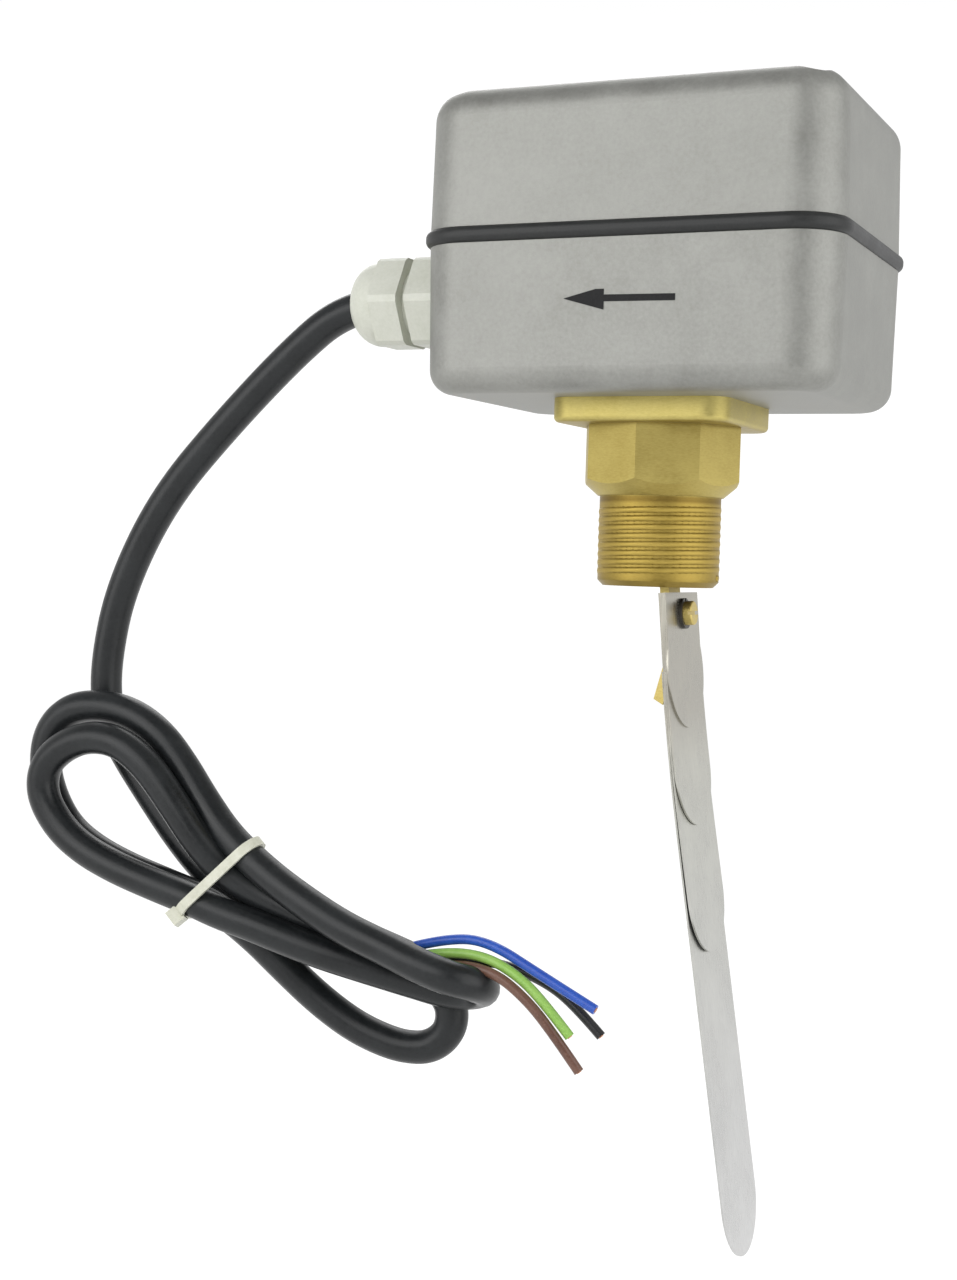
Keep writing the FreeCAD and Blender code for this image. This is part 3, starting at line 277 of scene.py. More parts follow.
# %% Hang the lamps
def soft_lamp(name, place, target, size, power):
    """A rectangular lamp that faces a target."""
    lamp_data = bpy.data.lights.new(name, "AREA")
    lamp_data.shape = "RECTANGLE"
    lamp_data.size, lamp_data.size_y = size
    lamp_data.energy = power
    lamp = bpy.data.objects.new(name, lamp_data)
    bpy.context.scene.collection.objects.link(lamp)
    facing = (Vector(place) - Vector(target)).to_track_quat("Z", "Y").to_matrix().to_4x4()
    lamp.matrix_world = Matrix.Translation(Vector(place)) @ facing
    print("lamp", name, power, "W")


middle = (cad_low + cad_high) / 2
soft_lamp("lamp_front", (-0.25, -1.0, 0.42), middle, (0.8, 0.8), 4.6)
soft_lamp("lamp_left", (-0.72, -0.78, 0.16), middle, (0.6, 0.6), 2.4)
soft_lamp("lamp_right", (0.98, -0.24, 0.05), middle, (1.0, 1.6), 7.2)
soft_lamp("lamp_rear", (-0.45, 0.8, 0.75), middle, (0.8, 0.8), 4.5)
bpy.context.scene.view_settings.view_transform = "Standard"

# %% [markdown]
# ## Shared surface effects
# Three effects come back on many finishes, so each is a node group built once. `speckle` is the fine
# mottling of cast or moulded surfaces, `streaks` are the parallel marks of rolling and turning, and
# `smudge` is the broad unevenness that handling leaves. Each gives a mask, the first two also give a
# height, and the pattern comes from the object's own coordinates, so that it stays put on the piece.

# %% Build the speckle group
def new_group(name, inputs, outputs):
    """A shader node group with float inputs that have a default, and float outputs."""
    group = bpy.data.node_groups.new(name, "ShaderNodeTree")
    for label, default in inputs:
        socket = group.interface.new_socket(label, in_out="INPUT", socket_type="NodeSocketFloat")
        socket.default_value = default
    for label in outputs:
        group.interface.new_socket(label, in_out="OUTPUT", socket_type="NodeSocketFloat")
    entry = group.nodes.new("NodeGroupInput")
    leave = group.nodes.new("NodeGroupOutput")
    place = group.nodes.new("ShaderNodeTexCoord")
    return group, entry, leave, place


fine_share = 0.6


def weighted(tree, fine, broad):
    """The fine and the broad part of a pattern, added by their shares."""
    return arithmetic(tree, "ADD", arithmetic(tree, "MULTIPLY", fine, fine_share),
                      arithmetic(tree, "MULTIPLY", broad, 1 - fine_share))


def noise(group, place, detail, roughness):
    """A noise texture on the given coordinates."""
    node = group.nodes.new("ShaderNodeTexNoise")
    node.inputs["Detail"].default_value = detail
    node.inputs["Roughness"].default_value = roughness
    group.links.new(place, node.inputs["Vector"])
    return node


speckle, entry, leave, place = new_group("speckle", [("Grain size", 0.001), ("Patch size", 0.008)],
                                         ["Mask", "Height"])
grain = noise(speckle, place.outputs["Object"], 3, 0.6)
patch = noise(speckle, place.outputs["Object"], 2, 0.5)
for texture, size in ((grain, "Grain size"), (patch, "Patch size")):
    speckle.links.new(arithmetic(speckle, "DIVIDE", 1.0, entry.outputs[size]), texture.inputs["Scale"])
speckle.links.new(weighted(speckle, grain.outputs["Fac"], patch.outputs["Fac"]), leave.inputs["Mask"])
speckle.links.new(grain.outputs["Fac"], leave.inputs["Height"])
print("group", speckle.name)

# %% [markdown]
# Rolled sheet and turned bar carry fine marks along one direction. Stretching the noise along an
# axis, by dividing that coordinate, draws them. The three inputs are the mark's width along each axis.

# %% Build the streaks group
streaks, entry, leave, place = new_group("streaks", [("Along X", 0.0003), ("Along Y", 0.0003),
                                                     ("Along Z", 0.02)], ["Mask", "Height"])
apart = streaks.nodes.new("ShaderNodeSeparateXYZ")
streaks.links.new(place.outputs["Object"], apart.inputs[0])
together = streaks.nodes.new("ShaderNodeCombineXYZ")
for axis in "XYZ":
    streaks.links.new(arithmetic(streaks, "DIVIDE", apart.outputs[axis], entry.outputs["Along " + axis]),
                      together.inputs[axis])
marks = noise(streaks, together.outputs[0], 4, 0.65)
marks.inputs["Scale"].default_value = 1.0
streaks.links.new(marks.outputs["Fac"], leave.inputs["Mask"])
streaks.links.new(marks.outputs["Fac"], leave.inputs["Height"])
print("group", streaks.name)

# %% Build the smudge group
smudge, entry, leave, place = new_group("smudge", [("Size", 0.03), ("Contrast", 1.0)], ["Mask"])
cloud = noise(smudge, place.outputs["Object"], 3, 0.55)
smudge.links.new(arithmetic(smudge, "DIVIDE", 1.0, entry.outputs["Size"]), cloud.inputs["Scale"])
centred = arithmetic(smudge, "SUBTRACT", cloud.outputs["Fac"], 0.5)
spread = arithmetic(smudge, "MULTIPLY", centred, entry.outputs["Contrast"])
smudge.links.new(arithmetic(smudge, "ADD", spread, 0.5), leave.inputs["Mask"])
print("group", smudge.name)

# %% [markdown]
# Some pieces change with their height: a thread is duller than the bar that it is cut on, a sheet is
# darker near its clamp, and a fitting has thin bands of painted shade. `height_share` gives 0 at the
# lower height and 1 at the upper one.

# %% Build the height group
height_share, entry, leave, place = new_group("height_share", [("Low", 0.0), ("High", 1.0)], ["Mask"])
apart = height_share.nodes.new("ShaderNodeSeparateXYZ")
height_share.links.new(place.outputs["Object"], apart.inputs[0])
climb = arithmetic(height_share, "SUBTRACT", apart.outputs["Z"], entry.outputs["Low"])
reach = arithmetic(height_share, "SUBTRACT", entry.outputs["High"], entry.outputs["Low"])
height_share.links.new(arithmetic(height_share, "DIVIDE", climb, reach), leave.inputs["Mask"])
print("group", height_share.name)

# %% [markdown]
# ## From an effect to a finish
# Every finish is made in the same three steps: a mask mixes two near colours, the same mask varies
# the roughness, and a height roughens the surface through a Bump node. `finish` wires them, with the
# shader in the material itself. What is one value all over, such as the metal content, is set on the
# shader's own socket. `tint_by_height` darkens the colour in bands where a piece asks for it.

# %% Write the finish builder
mask_range = (0.36, 0.64)


def place_group(tree, group, **values):
    """A shared effect in a node tree; a name's underscore stands for a space in its input."""
    node = tree.nodes.new("ShaderNodeGroup")
    node.node_tree = group
    for label, value in values.items():
        node.inputs[label.replace("_", " ")].default_value = value
    return node


def colour_ramp(tree, value, stops):
    """Colours that follow each other along a value; each stop is a position and a colour."""
    ramp = tree.nodes.new("ShaderNodeValToRGB")
    elements = ramp.color_ramp.elements
    elements.remove(elements[1])
    for number, (position, colour) in enumerate(stops):
        stop = elements[0] if number == 0 else elements.new(position)
        stop.position = position
        stop.color = (*colour, 1)
    tree.links.new(value, ramp.inputs["Fac"])
    return ramp.outputs["Color"]


def tint_by_height(tree, colour, bands):
    """Multiplies a colour by tints that follow each other up the piece; heights in millimetres."""
    low, high = bands[0][0], bands[-1][0]
    share = place_group(tree, height_share, Low=mm(low), High=mm(high))
    tint = colour_ramp(tree, share.outputs["Mask"],
                       [((height - low) / (high - low), tint) for height, tint in bands])
    product = tree.nodes.new("ShaderNodeMixRGB")
    product.blend_type = "MULTIPLY"
    product.inputs["Fac"].default_value = 1.0
    tree.links.new(colour, product.inputs["Color1"])
    tree.links.new(tint, product.inputs["Color2"])
    return product.outputs["Color"]


def finish(name, dark, light, rough, metal, effect, values, bump, smudge_size=0.03,
           smudge_contrast=1.0, shine=0.5, bands=None):
    """A material whose colour runs from dark to light and whose roughness spans `rough`."""
    material, tree = new_material(name)
    fine = place_group(tree, effect, **values)
    broad = place_group(tree, smudge, Size=smudge_size, Contrast=smudge_contrast)
    mask = weighted(tree, fine.outputs["Mask"], broad.outputs["Mask"])
    colour = colour_ramp(tree, mask, list(zip(mask_range, (dark, light))))
    if bands:
        colour = tint_by_height(tree, colour, bands)
    relief = tree.nodes.new("ShaderNodeBump")
    relief.inputs["Strength"].default_value, relief.inputs["Distance"].default_value = bump
    tree.links.new(fine.outputs["Height"], relief.inputs["Height"])
    shader = tree.nodes.new("ShaderNodeBsdfPrincipled")
    shader.inputs["Metallic"].default_value = metal
    shader.inputs["Specular IOR Level"].default_value = shine
    tree.links.new(colour, shader.inputs["Base Color"])
    tree.links.new(span(tree, mask, mask_range, rough, kind="LINEAR"), shader.inputs["Roughness"])
    tree.links.new(relief.outputs["Normal"], shader.inputs["Normal"])
    close_tree(tree, "ShaderNodeOutputMaterial", shader)
    print("finish", name)
    return material


# %% [markdown]
# ### Cast aluminium
# The housing is die cast and tumbled: a matt, slightly mottled grey, with no clear reflection. It
# could be a pure metal, but a blasted casting scatters so much that half of it behaves as paint, so
# the metal content stays near a half and the roughness high.

# %% Mix cast aluminium
cast_aluminium = finish("cast_aluminium", (0.245, 0.246, 0.228), (0.338, 0.339, 0.318), (0.42, 0.56),
                        0.5, speckle, dict(Grain_size=0.0011, Patch_size=0.006), (0.4, 0.00014),
                        smudge_size=0.022, smudge_contrast=1.2)

# %% [markdown]
# ### Brass, in three states
# The small parts are plain turned brass. On the fitting, the flange is bright, the wrench section
# duller and the thread darker and browner. A thin band under the shoulder, where the thread runs out,
# and another under the flange are painted shade, and the shoulder's chamfer has a faint painted
# highlight. All of them share a yellow that leans to green, as leaded brass does.

# %% Mix the brasses
turned_marks = dict(Along_X=0.0012, Along_Y=0.0012, Along_Z=0.00035)
brass = finish("brass", (0.50, 0.385, 0.115), (0.64, 0.52, 0.19), (0.36, 0.50), 0.85, streaks,
               turned_marks, (0.25, 0.00005), smudge_size=0.012, smudge_contrast=1.5)
thread_tint = (0.70, 0.60, 0.40)
wrench_tint = (0.86, 0.82, 0.74)
# Tints up the fitting: painted shade under the shoulder (-1.4 mm) and under the flange (18.9 mm), and a
# faint painted highlight on the chamfer above the shoulder band.
fitting_brass = finish("fitting_brass", (0.44, 0.36, 0.11), (0.56, 0.475, 0.165), (0.38, 0.52), 0.85,
                       streaks, turned_marks, (0.25, 0.00005), smudge_size=0.012, smudge_contrast=1.5,
                       bands=[(-25.0, (0.50, 0.42, 0.27)), (-23.0, (0.55, 0.47, 0.30)), (-22.0, thread_tint),
                              (-2.2, thread_tint), (-1.4, (0.40, 0.32, 0.19)), (-0.4, (0.45, 0.37, 0.23)),
                              (0.2, (0.93, 0.90, 0.82)), (4.2, (0.88, 0.84, 0.76)), (5.0, wrench_tint),
                              (18.0, wrench_tint), (18.9, (0.62, 0.57, 0.47)), (19.6, (1, 1, 1)),
                              (26.0, (1, 1, 1))])
thread_brass = finish("thread_brass", (0.385, 0.275, 0.058), (0.475, 0.35, 0.085), (0.44, 0.60), 0.85,
                      streaks, dict(Along_X=0.002, Along_Y=0.002, Along_Z=0.0003), (0.3, 0.00005),
                      smudge_size=0.008, smudge_contrast=1.6)
bronze_bellows = finish("bronze_bellows", (0.42, 0.24, 0.10), (0.56, 0.35, 0.16), (0.25, 0.4), 0.9, speckle,
                        dict(Grain_size=0.0006, Patch_size=0.004), (0.2, 0.00005))

# %% [markdown]
# ### Steels
# The paddles are cut from rolled stainless sheet, with faint marks along their length, and they are
# darker and a little browner towards the clamp. Screws and bracket are zinc plated, which is bluer,
# brighter in patches and smoother. The spring washer under the clamp screw is near black, which also
# paints the shade beside the screw head.

# %% Mix the steels
rolled_marks = dict(Along_X=0.0005, Along_Y=0.0005, Along_Z=0.03)
stainless = finish("stainless", (0.46, 0.46, 0.435), (0.63, 0.63, 0.60), (0.26, 0.40), 0.9, streaks,
                   rolled_marks, (0.2, 0.00004), smudge_size=0.015, smudge_contrast=1.3)
# The paddles' tints grow darker and browner from the tip up to the clamp.
paddle_steel = finish("paddle_steel", (0.48, 0.48, 0.475), (0.63, 0.63, 0.625), (0.24, 0.38), 0.9,
                      streaks, rolled_marks, (0.2, 0.00004), smudge_size=0.015, smudge_contrast=1.3,
                      bands=[(-200.0, (1, 1, 1)), (-165.0, (0.93, 0.93, 0.92)), (-90.0, (0.88, 0.88, 0.81)),
                             (-72.0, (0.85, 0.84, 0.76)), (-58.0, (0.70, 0.67, 0.59)),
                             (-26.0, (0.70, 0.67, 0.58))])
# Near-black steel for the clamp washer: a dark washer, and painted shade beside the screw head.
washer_black_and_shade = finish("washer_black_and_shade", (0.045, 0.042, 0.038), (0.10, 0.095, 0.085), (0.38, 0.5), 0.7,
                         speckle, dict(Grain_size=0.0005, Patch_size=0.003), (0.2, 0.00004),
                         smudge_size=0.004)
zinc_steel = finish("zinc_steel", (0.44, 0.46, 0.49), (0.62, 0.64, 0.66), (0.24, 0.4), 0.9, speckle,
                    dict(Grain_size=0.0008, Patch_size=0.003), (0.2, 0.00004), smudge_size=0.006)
contact_silver = finish("contact_silver", (0.55, 0.54, 0.5), (0.72, 0.71, 0.66), (0.2, 0.35), 0.9, speckle,
                        dict(Grain_size=0.0005, Patch_size=0.002), (0.15, 0.00003), smudge_size=0.004)

# %% [markdown]
# ### Plastics and rubbers
# The gland is natural nylon, an off-white with a greenish cast and a soft shine. The gasket and the
# seals are black rubber, and the switch case a dull black moulding.

# %% Mix the plastics and rubbers
nylon_white = finish("nylon_white", (0.60, 0.615, 0.53), (0.70, 0.71, 0.635), (0.36, 0.48), 0.0, speckle,
                     dict(Grain_size=0.0009, Patch_size=0.006), (0.12, 0.0001), smudge_size=0.01)
gasket_rubber = finish("gasket_rubber", (0.014, 0.015, 0.015), (0.028, 0.029, 0.029), (0.36, 0.5), 0.0,
                       speckle, dict(Grain_size=0.0006, Patch_size=0.005), (0.3, 0.00008), shine=0.35)
seal_rubber = finish("seal_rubber", (0.02, 0.02, 0.02), (0.04, 0.04, 0.04), (0.55, 0.7), 0.0, speckle,
                     dict(Grain_size=0.0005, Patch_size=0.003), (0.3, 0.00008))
switch_plastic = finish("switch_plastic", (0.015, 0.015, 0.018), (0.03, 0.03, 0.034), (0.4, 0.55), 0.0,
                        speckle, dict(Grain_size=0.0004, Patch_size=0.003), (0.25, 0.00006))
tie_nylon = finish("tie_nylon", (0.60, 0.605, 0.49), (0.72, 0.725, 0.62), (0.34, 0.46), 0.0, speckle,
                   dict(Grain_size=0.0008, Patch_size=0.003), (0.12, 0.00006), smudge_size=0.006)
arrow_ink = finish("arrow_ink", (0.008, 0.008, 0.009), (0.022, 0.022, 0.023), (0.5, 0.7), 0.0, speckle,
                   dict(Grain_size=0.0006, Patch_size=0.003), (0.2, 0.00005), shine=0.2)

# %% [markdown]
# ### The cord's jacket and the cores
# A rubber jacket is dark grey with a satin shine and faint length marks, and the cores are coloured
# plastic. The marks would need to follow the bends, so a fine speckle, the same in all directions,
# is used instead: it can't be seen to run the wrong way.

# %% Mix the cord finishes
cord_rubber = finish("cord_rubber", (0.008, 0.0093, 0.0102), (0.018, 0.0203, 0.0218), (0.28, 0.40), 0.0,
                     speckle, dict(Grain_size=0.0012, Patch_size=0.01), (0.25, 0.0001), smudge_size=0.02,
                     shine=0.35)


def core_finish(name, dark, light):
    """Coloured plastic round a core."""
    return finish(name, dark, light, (0.28, 0.4), 0.0, speckle, dict(Grain_size=0.0007, Patch_size=0.004),
                  (0.15, 0.00005), smudge_size=0.01)


core_blue = core_finish("core_blue", (0.018, 0.07, 0.42), (0.03, 0.12, 0.58))
core_black = core_finish("core_black", (0.008, 0.008, 0.009), (0.02, 0.02, 0.022))
core_brown = core_finish("core_brown", (0.11, 0.05, 0.035), (0.19, 0.095, 0.065))
core_green_yellow = core_finish("core_green_yellow", (0.24, 0.50, 0.08), (0.36, 0.60, 0.14))
copper = finish("copper_strands", (0.50, 0.22, 0.11), (0.72, 0.36, 0.2), (0.25, 0.4), 0.9, speckle,
                dict(Grain_size=0.0003, Patch_size=0.001), (0.3, 0.0001), smudge_size=0.003)

# %% [markdown]
# ## Finish the solids
# Each solid keeps its own shape and takes the finish that its slot in the record names, so one list
# of slots and finishes serves them all. A few then get a finish made for them alone.

# %% Give every solid its finish
core_materials = dict(blue=core_blue, green_yellow=core_green_yellow, black=core_black,
                      brown=core_brown)
finishes = dict(
    cast_aluminium=cast_aluminium, brass=brass, bronze_bellows=bronze_bellows, stainless=stainless,
    zinc_steel=zinc_steel, contact_silver=contact_silver, nylon_white=nylon_white,
    gasket_rubber=gasket_rubber, seal_rubber=seal_rubber, switch_plastic=switch_plastic,
    tie_nylon=tie_nylon, cord_rubber=cord_rubber,
    **{"core_" + colour: material for colour, material in core_materials.items()})
for part in frame["record"]["subparts"]:
    solid = frame["nodes"][part["node"]]
    solid.data.materials.clear()
    solid.data.materials.append(finishes[part["material_slot"]])
special = dict(process_fitting=fitting_brass, clamp_washer=washer_black_and_shade, paddle_6_inch=paddle_steel,
               paddle_3_inch=paddle_steel, paddle_2_inch=paddle_steel, paddle_1_inch=paddle_steel)
for node, material in special.items():
    frame["nodes"][node].data.materials[0] = material

# %% [markdown]
# ## The cord
# The cord is 9.5 mm rubber cable. It leaves the gland, falls in one long curve, and is gathered in a
# hank of four runs and three open eyes, held by a tie. It could be swept as a mesh, but a NURBS curve
# with a round bevel is one smooth line by nature, and its length can be measured. The points are the
# route of the solid cord in millimetres, followed by the turns of the hank.

# %% Write down the cord's route
cord_diameter = mm(9.5)
cord_fall = [
    (-82, -16, 52.4), (-91.5, -16, 51), (-106, -16, 40.4), (-128, -16, 20), (-150, -16, -3.2),
    (-164.5, -16, -30), (-169.4, -16, -53), (-169, -15.5, -68),
]
run_in = [
    (-163, -15.5, -79), (-152.5, -16, -91.5), (-142, -16, -104), (-131, -16.5, -114),
    (-117.5, -16.5, -121.5), (-101.5, -16, -128), (-85.5, -15.5, -133.5), (-70.5, -14.5, -137.5),
]
low_bend = [
    (-58.5, -12.4, -138.7), (-52.9, -11.8, -144.2), (-52.9, -12.2, -151.9), (-58.6, -13, -157.3),
    (-66.5, -14, -158), (-75, -15, -156),
]
run_back = [
    (-83.5, -16, -152.5), (-93.5, -17.5, -146), (-103.5, -19.5, -137.5), (-113, -21.5, -129),
    (-125.5, -23, -121), (-140, -24, -117), (-154.5, -24.5, -113),
]
back_loop = [
    (-166, -25, -108.5), (-175, -25, -103), (-181, -25, -95), (-184.5, -25, -85.5), (-183.5, -25, -75),
    (-177, -25, -67.5), (-166.5, -25, -65), (-154.5, -25, -66.5), (-144, -25, -72), (-136, -25, -80.5),
]
run_out = [
    (-127.5, -26.5, -90.5), (-117, -29, -100.5), (-102.5, -31.5, -109.5), (-89, -33.5, -116),
    (-76.5, -34.5, -121.5), (-63.5, -35, -125.5), (-53, -36.2, -128.8),
]
round_end = [
    (-43.4, -36.2, -131.4), (-38, -30.8, -133.4), (-38, -23, -136.2), (-43.4, -17.6, -138.9),
    (-51, -17.8, -139.8),
]
run_home = [
    (-59.2, -21.2, -137.4), (-67.5, -24.5, -135), (-76.5, -27.5, -132.5), (-86, -30, -130),
    (-96.5, -31.5, -127), (-106.5, -32.5, -124), (-117.5, -33, -121.5), (-126.5, -33.5, -118.5),
    (-138, -34, -115.5),
]
front_loop = [
    (-152, -34.5, -111.5), (-164.5, -34.5, -106.5), (-173, -34.5, -100), (-178.5, -34.5, -91.5),
    (-177.5, -34.5, -83), (-171, -34.5, -77), (-161.5, -34.5, -73.5), (-151.5, -34.5, -74.5),
    (-142, -34.5, -80.5),
]
last_run = [
    (-133, -34, -91), (-126, -33, -100.5), (-118.5, -31, -109), (-107.5, -28, -116),
    (-95, -26, -121), (-82, -25, -124), (-70, -25, -127), (-59, -26, -130),
]

# %% [markdown]
# A NURBS spline of order 3 passes near its control points and takes its corners round by itself. Its
# order and its free ends are set after the points exist, because a spline with too few points can't
# hold them.

# %% Turn the route into a curve
def smooth_cord(name, points, diameter, sides=4):
    """A round cord along control points in millimetres."""
    curve = bpy.data.curves.new(name, "CURVE")
    curve.dimensions = "3D"
    spline = curve.splines.new("NURBS")
    spline.points.add(len(points) - 1)
    for control, point in zip(spline.points, points):
        control.co = (*mm(*point), 1)
    spline.order_u = 3
    spline.use_endpoint_u = True
    spline.resolution_u = 10
    curve.bevel_depth = diameter / 2
    curve.bevel_resolution = sides
    curve.use_fill_caps = True
    cord = bpy.data.objects.new(name, curve)
    bpy.context.scene.collection.objects.link(cord)
    return cord


def centreline(cord):
    """Points along the cord's own line, from a copy of its curve with no thickness."""
    bare = cord.data.copy()
    bare.bevel_depth = 0
    stand_in = bpy.data.objects.new("stand_in", bare)
    bpy.context.scene.collection.objects.link(stand_in)
    bpy.context.view_layer.update()
    mesh = bpy.data.meshes.new_from_object(stand_in)
    line = [vertex.co.copy() for vertex in mesh.vertices]
    bpy.data.objects.remove(stand_in)
    return line


def line_length(line):
    """The length of a line of points."""
    return sum((b - a).length for a, b in zip(line, line[1:]))


route = (cord_fall + run_in + low_bend + run_back + back_loop + run_out + round_end + run_home
         + front_loop + last_run)
hanging_cord = smooth_cord("hanging_cord", route, cord_diameter, sides=6)
finish_piece(hanging_cord, cord_rubber, "housing")
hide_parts("cord", "cord_hank")
cord_length = line_length(centreline(hanging_cord))
print("cord length", round(cord_length, 3), "m")

# %% [markdown]
# ### The four cores
# Where the jacket ends, four cores fan out: blue on top, green and yellow, black, and brown lowest.
# They are stiff copper under plastic, so each keeps its own bend. Each ends cut square, with its
# copper all but flush.

# %% Lay the cores
core_diameter = mm(2.8)
copper_radius, copper_length = mm(0.75), mm(1.2)
copper_sunk, copper_bevel = mm(0.4), mm(0.12)
core_routes = {
    "blue": [(-61, -25, -127), (-50, -25, -123.2), (-37, -25.5, -122.2), (-20.5, -26.5, -129.8),
             (-4.4, -27, -137.2)],
    "green_yellow": [(-61, -27, -129.5), (-50, -27, -126.5), (-37, -27.5, -126), (-26.5, -28, -130.3),
                     (-18.2, -28.5, -137), (-10.9, -28.5, -144.9)],
    "black": [(-60, -24, -131), (-47, -23.5, -128.6), (-33, -23, -128.6), (-20, -22.5, -132.6),
              (-11.5, -22.5, -138.2), (-4.2, -22.5, -145.2)],
    "brown": [(-58, -28, -132), (-46, -28.5, -129), (-33, -30.2, -129.4), (-23, -30, -136),
              (-14.7, -30, -144.7), (-7.6, -29.5, -153.7)],
}


def copper_end(name, line):
    """The cut copper in the end of a core: a short rod with a bevelled rim, all but flush."""
    direction = (line[-1] - line[-3]).normalized()
    middle = line[-1] - direction * copper_sunk
    start_clean()
    bpy.ops.mesh.primitive_cylinder_add(vertices=20, radius=copper_radius, depth=copper_length,
                                        location=middle,
                                        rotation=direction.to_track_quat("Z", "Y").to_euler())
    end = name_it(name)
    bpy.ops.object.mode_set(mode="EDIT")
    bpy.ops.mesh.select_all(action="SELECT")
    bpy.ops.mesh.bevel(offset=copper_bevel, segments=2, affect="EDGES")
    bpy.ops.object.mode_set(mode="OBJECT")
    settle(end)
    return finish_piece(end, copper, "housing")


for colour, points in core_routes.items():
    core = smooth_cord("core_wire_" + colour, points, core_diameter)
    finish_piece(core, core_materials[colour], "housing")
    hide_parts("core_" + colour)
    line = centreline(core)
    copper_tip = copper_end("copper_end_" + colour, line)
    print("core", colour, round(line_length(line) * 1000, 1), "mm")

# %% [markdown]
# ## The pipe thread
# An R 1 thread has eleven turns to the inch, so a pitch of 2.31 mm. The solid neck is a plain
# cylinder, as thick as the thread's crests. A helical ridge could be cut into it, but the solid must
# stay as it is, so the ridge lies on it: one tooth of the profile, turned into a helix by the Screw
# modifier, with its foot just under the surface. The crests are low, so the ridge stands only 0.15 mm
# proud.

# %% Turn the thread
neck_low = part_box("process_fitting")[0]
thread_radius = mm(16.62)
thread_pitch = mm(25.4) / 11
thread_turns = 8.2
thread_bottom = neck_low.z + mm(1.5)
ridge_height, ridge_sunk = mm(0.15), mm(0.05)
crest_from, crest_to = 0.42 * thread_pitch, 0.58 * thread_pitch
steps_each_turn = 56

start_clean()
bpy.ops.mesh.primitive_plane_add(size=1, location=(0, 0, 0))
thread = name_it("thread_ridge")
foot_radius, crest_radius = thread_radius - ridge_sunk, thread_radius + ridge_height
tooth = [(foot_radius, 0.0), (foot_radius, thread_pitch), (crest_radius, crest_from),
         (crest_radius, crest_to)]
for vertex, (out, high) in zip(thread.data.vertices, tooth):
    vertex.co = (out, 0, thread_bottom + high)
bpy.ops.object.mode_set(mode="EDIT")
bpy.ops.mesh.select_all(action="SELECT")
bpy.ops.mesh.delete(type="ONLY_FACE")
bpy.ops.object.mode_set(mode="OBJECT")
helix = thread.modifiers.new("helix", "SCREW")
helix.axis = "Z"
helix.angle = 2 * math.pi * thread_turns
helix.screw_offset = thread_pitch * thread_turns
helix.steps = int(steps_each_turn * thread_turns)
helix.render_steps = helix.steps
bpy.ops.object.modifier_apply(modifier="helix")
bpy.ops.object.mode_set(mode="EDIT")
bpy.ops.mesh.select_all(action="SELECT")
bpy.ops.mesh.remove_doubles(threshold=1e-6)
bpy.ops.mesh.fill_holes(sides=4)
bpy.ops.mesh.normals_make_consistent(inside=False)
bpy.ops.object.mode_set(mode="OBJECT")
finish_piece(thread, thread_brass, "housing")
print("thread ridge", len(thread.data.polygons), "faces")

# %% [markdown]
# ## The flow arrow
# A plain printed arrow on the front wall shows which way the liquid runs. The wall leans inwards by
# the cast draft, so the arrow is drawn flat, given the thickness of a coat of paint, and leant by the
# same angle. The head is drawn from the shaft's end: back a little, widened, and then to a point.

# %% Print the arrow
draft = math.radians(1.2)
base_low, base_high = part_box("housing_base")
arrow_height = mm(48.8)
arrow_lean = math.radians(0.6)
arrow_tail, arrow_neck, arrow_tip = mm(16.2), mm(-4.0), mm(-13.7)
shaft_half, head_half = mm(0.87), mm(2.95)
barb_length, tip_share = mm(1.2), 0.02
paint_thickness, paint_proud = mm(0.12), mm(0.04)
wall_front = base_low.y + (base_high.z - arrow_height) * math.tan(draft)

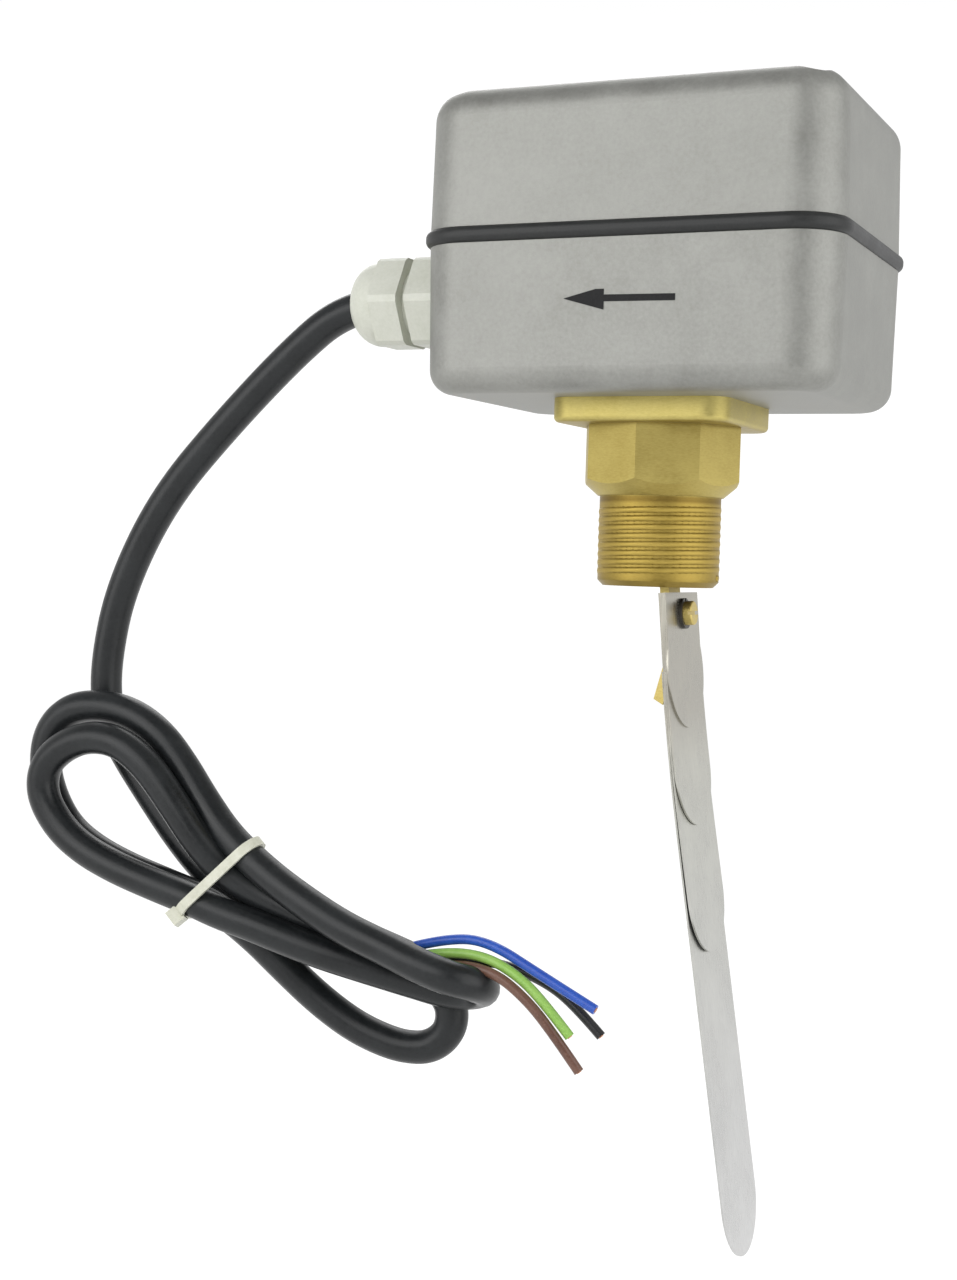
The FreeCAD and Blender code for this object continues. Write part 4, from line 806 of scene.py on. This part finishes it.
start_clean()
bpy.ops.mesh.primitive_plane_add(size=1, location=(0, 0, 0))
arrow = name_it("flow_arrow")
for vertex in arrow.data.vertices:
    vertex.co.x = arrow_tail if vertex.co.x > 0 else arrow_neck
    vertex.co.y = shaft_half if vertex.co.y > 0 else -shaft_half
bpy.ops.object.mode_set(mode="EDIT")
bpy.ops.mesh.select_all(action="DESELECT")
bpy.ops.object.mode_set(mode="OBJECT")
for edge in arrow.data.edges:
    edge.select = all(abs(arrow.data.vertices[i].co.x - arrow_neck) < 1e-9 for i in edge.vertices)
bpy.ops.object.mode_set(mode="EDIT")
bpy.ops.mesh.select_mode(type="EDGE")
bpy.ops.mesh.extrude_region_move(TRANSFORM_OT_translate={"value": (barb_length, 0, 0)})
bpy.ops.transform.resize(value=(1, head_half / shaft_half, 1), center_override=(0, 0, 0))
head_length = arrow_tip - arrow_neck - barb_length
bpy.ops.mesh.extrude_region_move(TRANSFORM_OT_translate={"value": (head_length, 0, 0)})
bpy.ops.transform.resize(value=(1, tip_share, 1), center_override=(0, 0, 0))
bpy.ops.mesh.select_all(action="SELECT")
bpy.ops.mesh.normals_make_consistent(inside=False)
bpy.ops.object.mode_set(mode="OBJECT")
paint = arrow.modifiers.new("paint", "SOLIDIFY")
paint.thickness = paint_thickness
paint.offset = 0
bpy.ops.object.modifier_apply(modifier="paint")
arrow.matrix_world = (Matrix.Translation((0, wall_front - paint_proud, arrow_height))
                      @ Matrix.Rotation(math.radians(90) - draft, 4, "X")
                      @ Matrix.Rotation(-arrow_lean, 4, "Z"))
settle(arrow)
finish_piece(arrow, arrow_ink, "housing")

# %% [markdown]
# ## The range spring and the bellows
# Two pieces inside the housing give as the paddle swings, and the solids that stand for them are
# rigid. So each shape is copied and merged into one skin, its place is moved into its mesh, and the
# copy, with no parent, then stands for the solid.

# %% Copy the spring and the bellows
def supple_copy(node, name, material):
    """A merged copy of a CAD node that stands for it, with no parent."""
    piece = frame["nodes"][node].copy()
    piece.data = frame["nodes"][node].data.copy()
    for key in list(piece.keys()):
        del piece[key]
    piece.name = piece.data.name = name
    piece.parent = None
    bpy.context.scene.collection.objects.link(piece)
    start_clean()
    bpy.context.view_layer.objects.active = piece
    piece.select_set(True)
    bpy.ops.object.mode_set(mode="EDIT")
    bpy.ops.mesh.select_all(action="SELECT")
    bpy.ops.mesh.remove_doubles(threshold=1e-6)
    bpy.ops.object.mode_set(mode="OBJECT")
    finish_piece(piece, material, "housing")
    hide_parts(node)
    piece.parent = None
    return piece


spring = supple_copy("range_spring", "range_spring_coil", stainless)
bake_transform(spring)

bellows = supple_copy("bellows", "bellows_folds", bronze_bellows)
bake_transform(bellows)
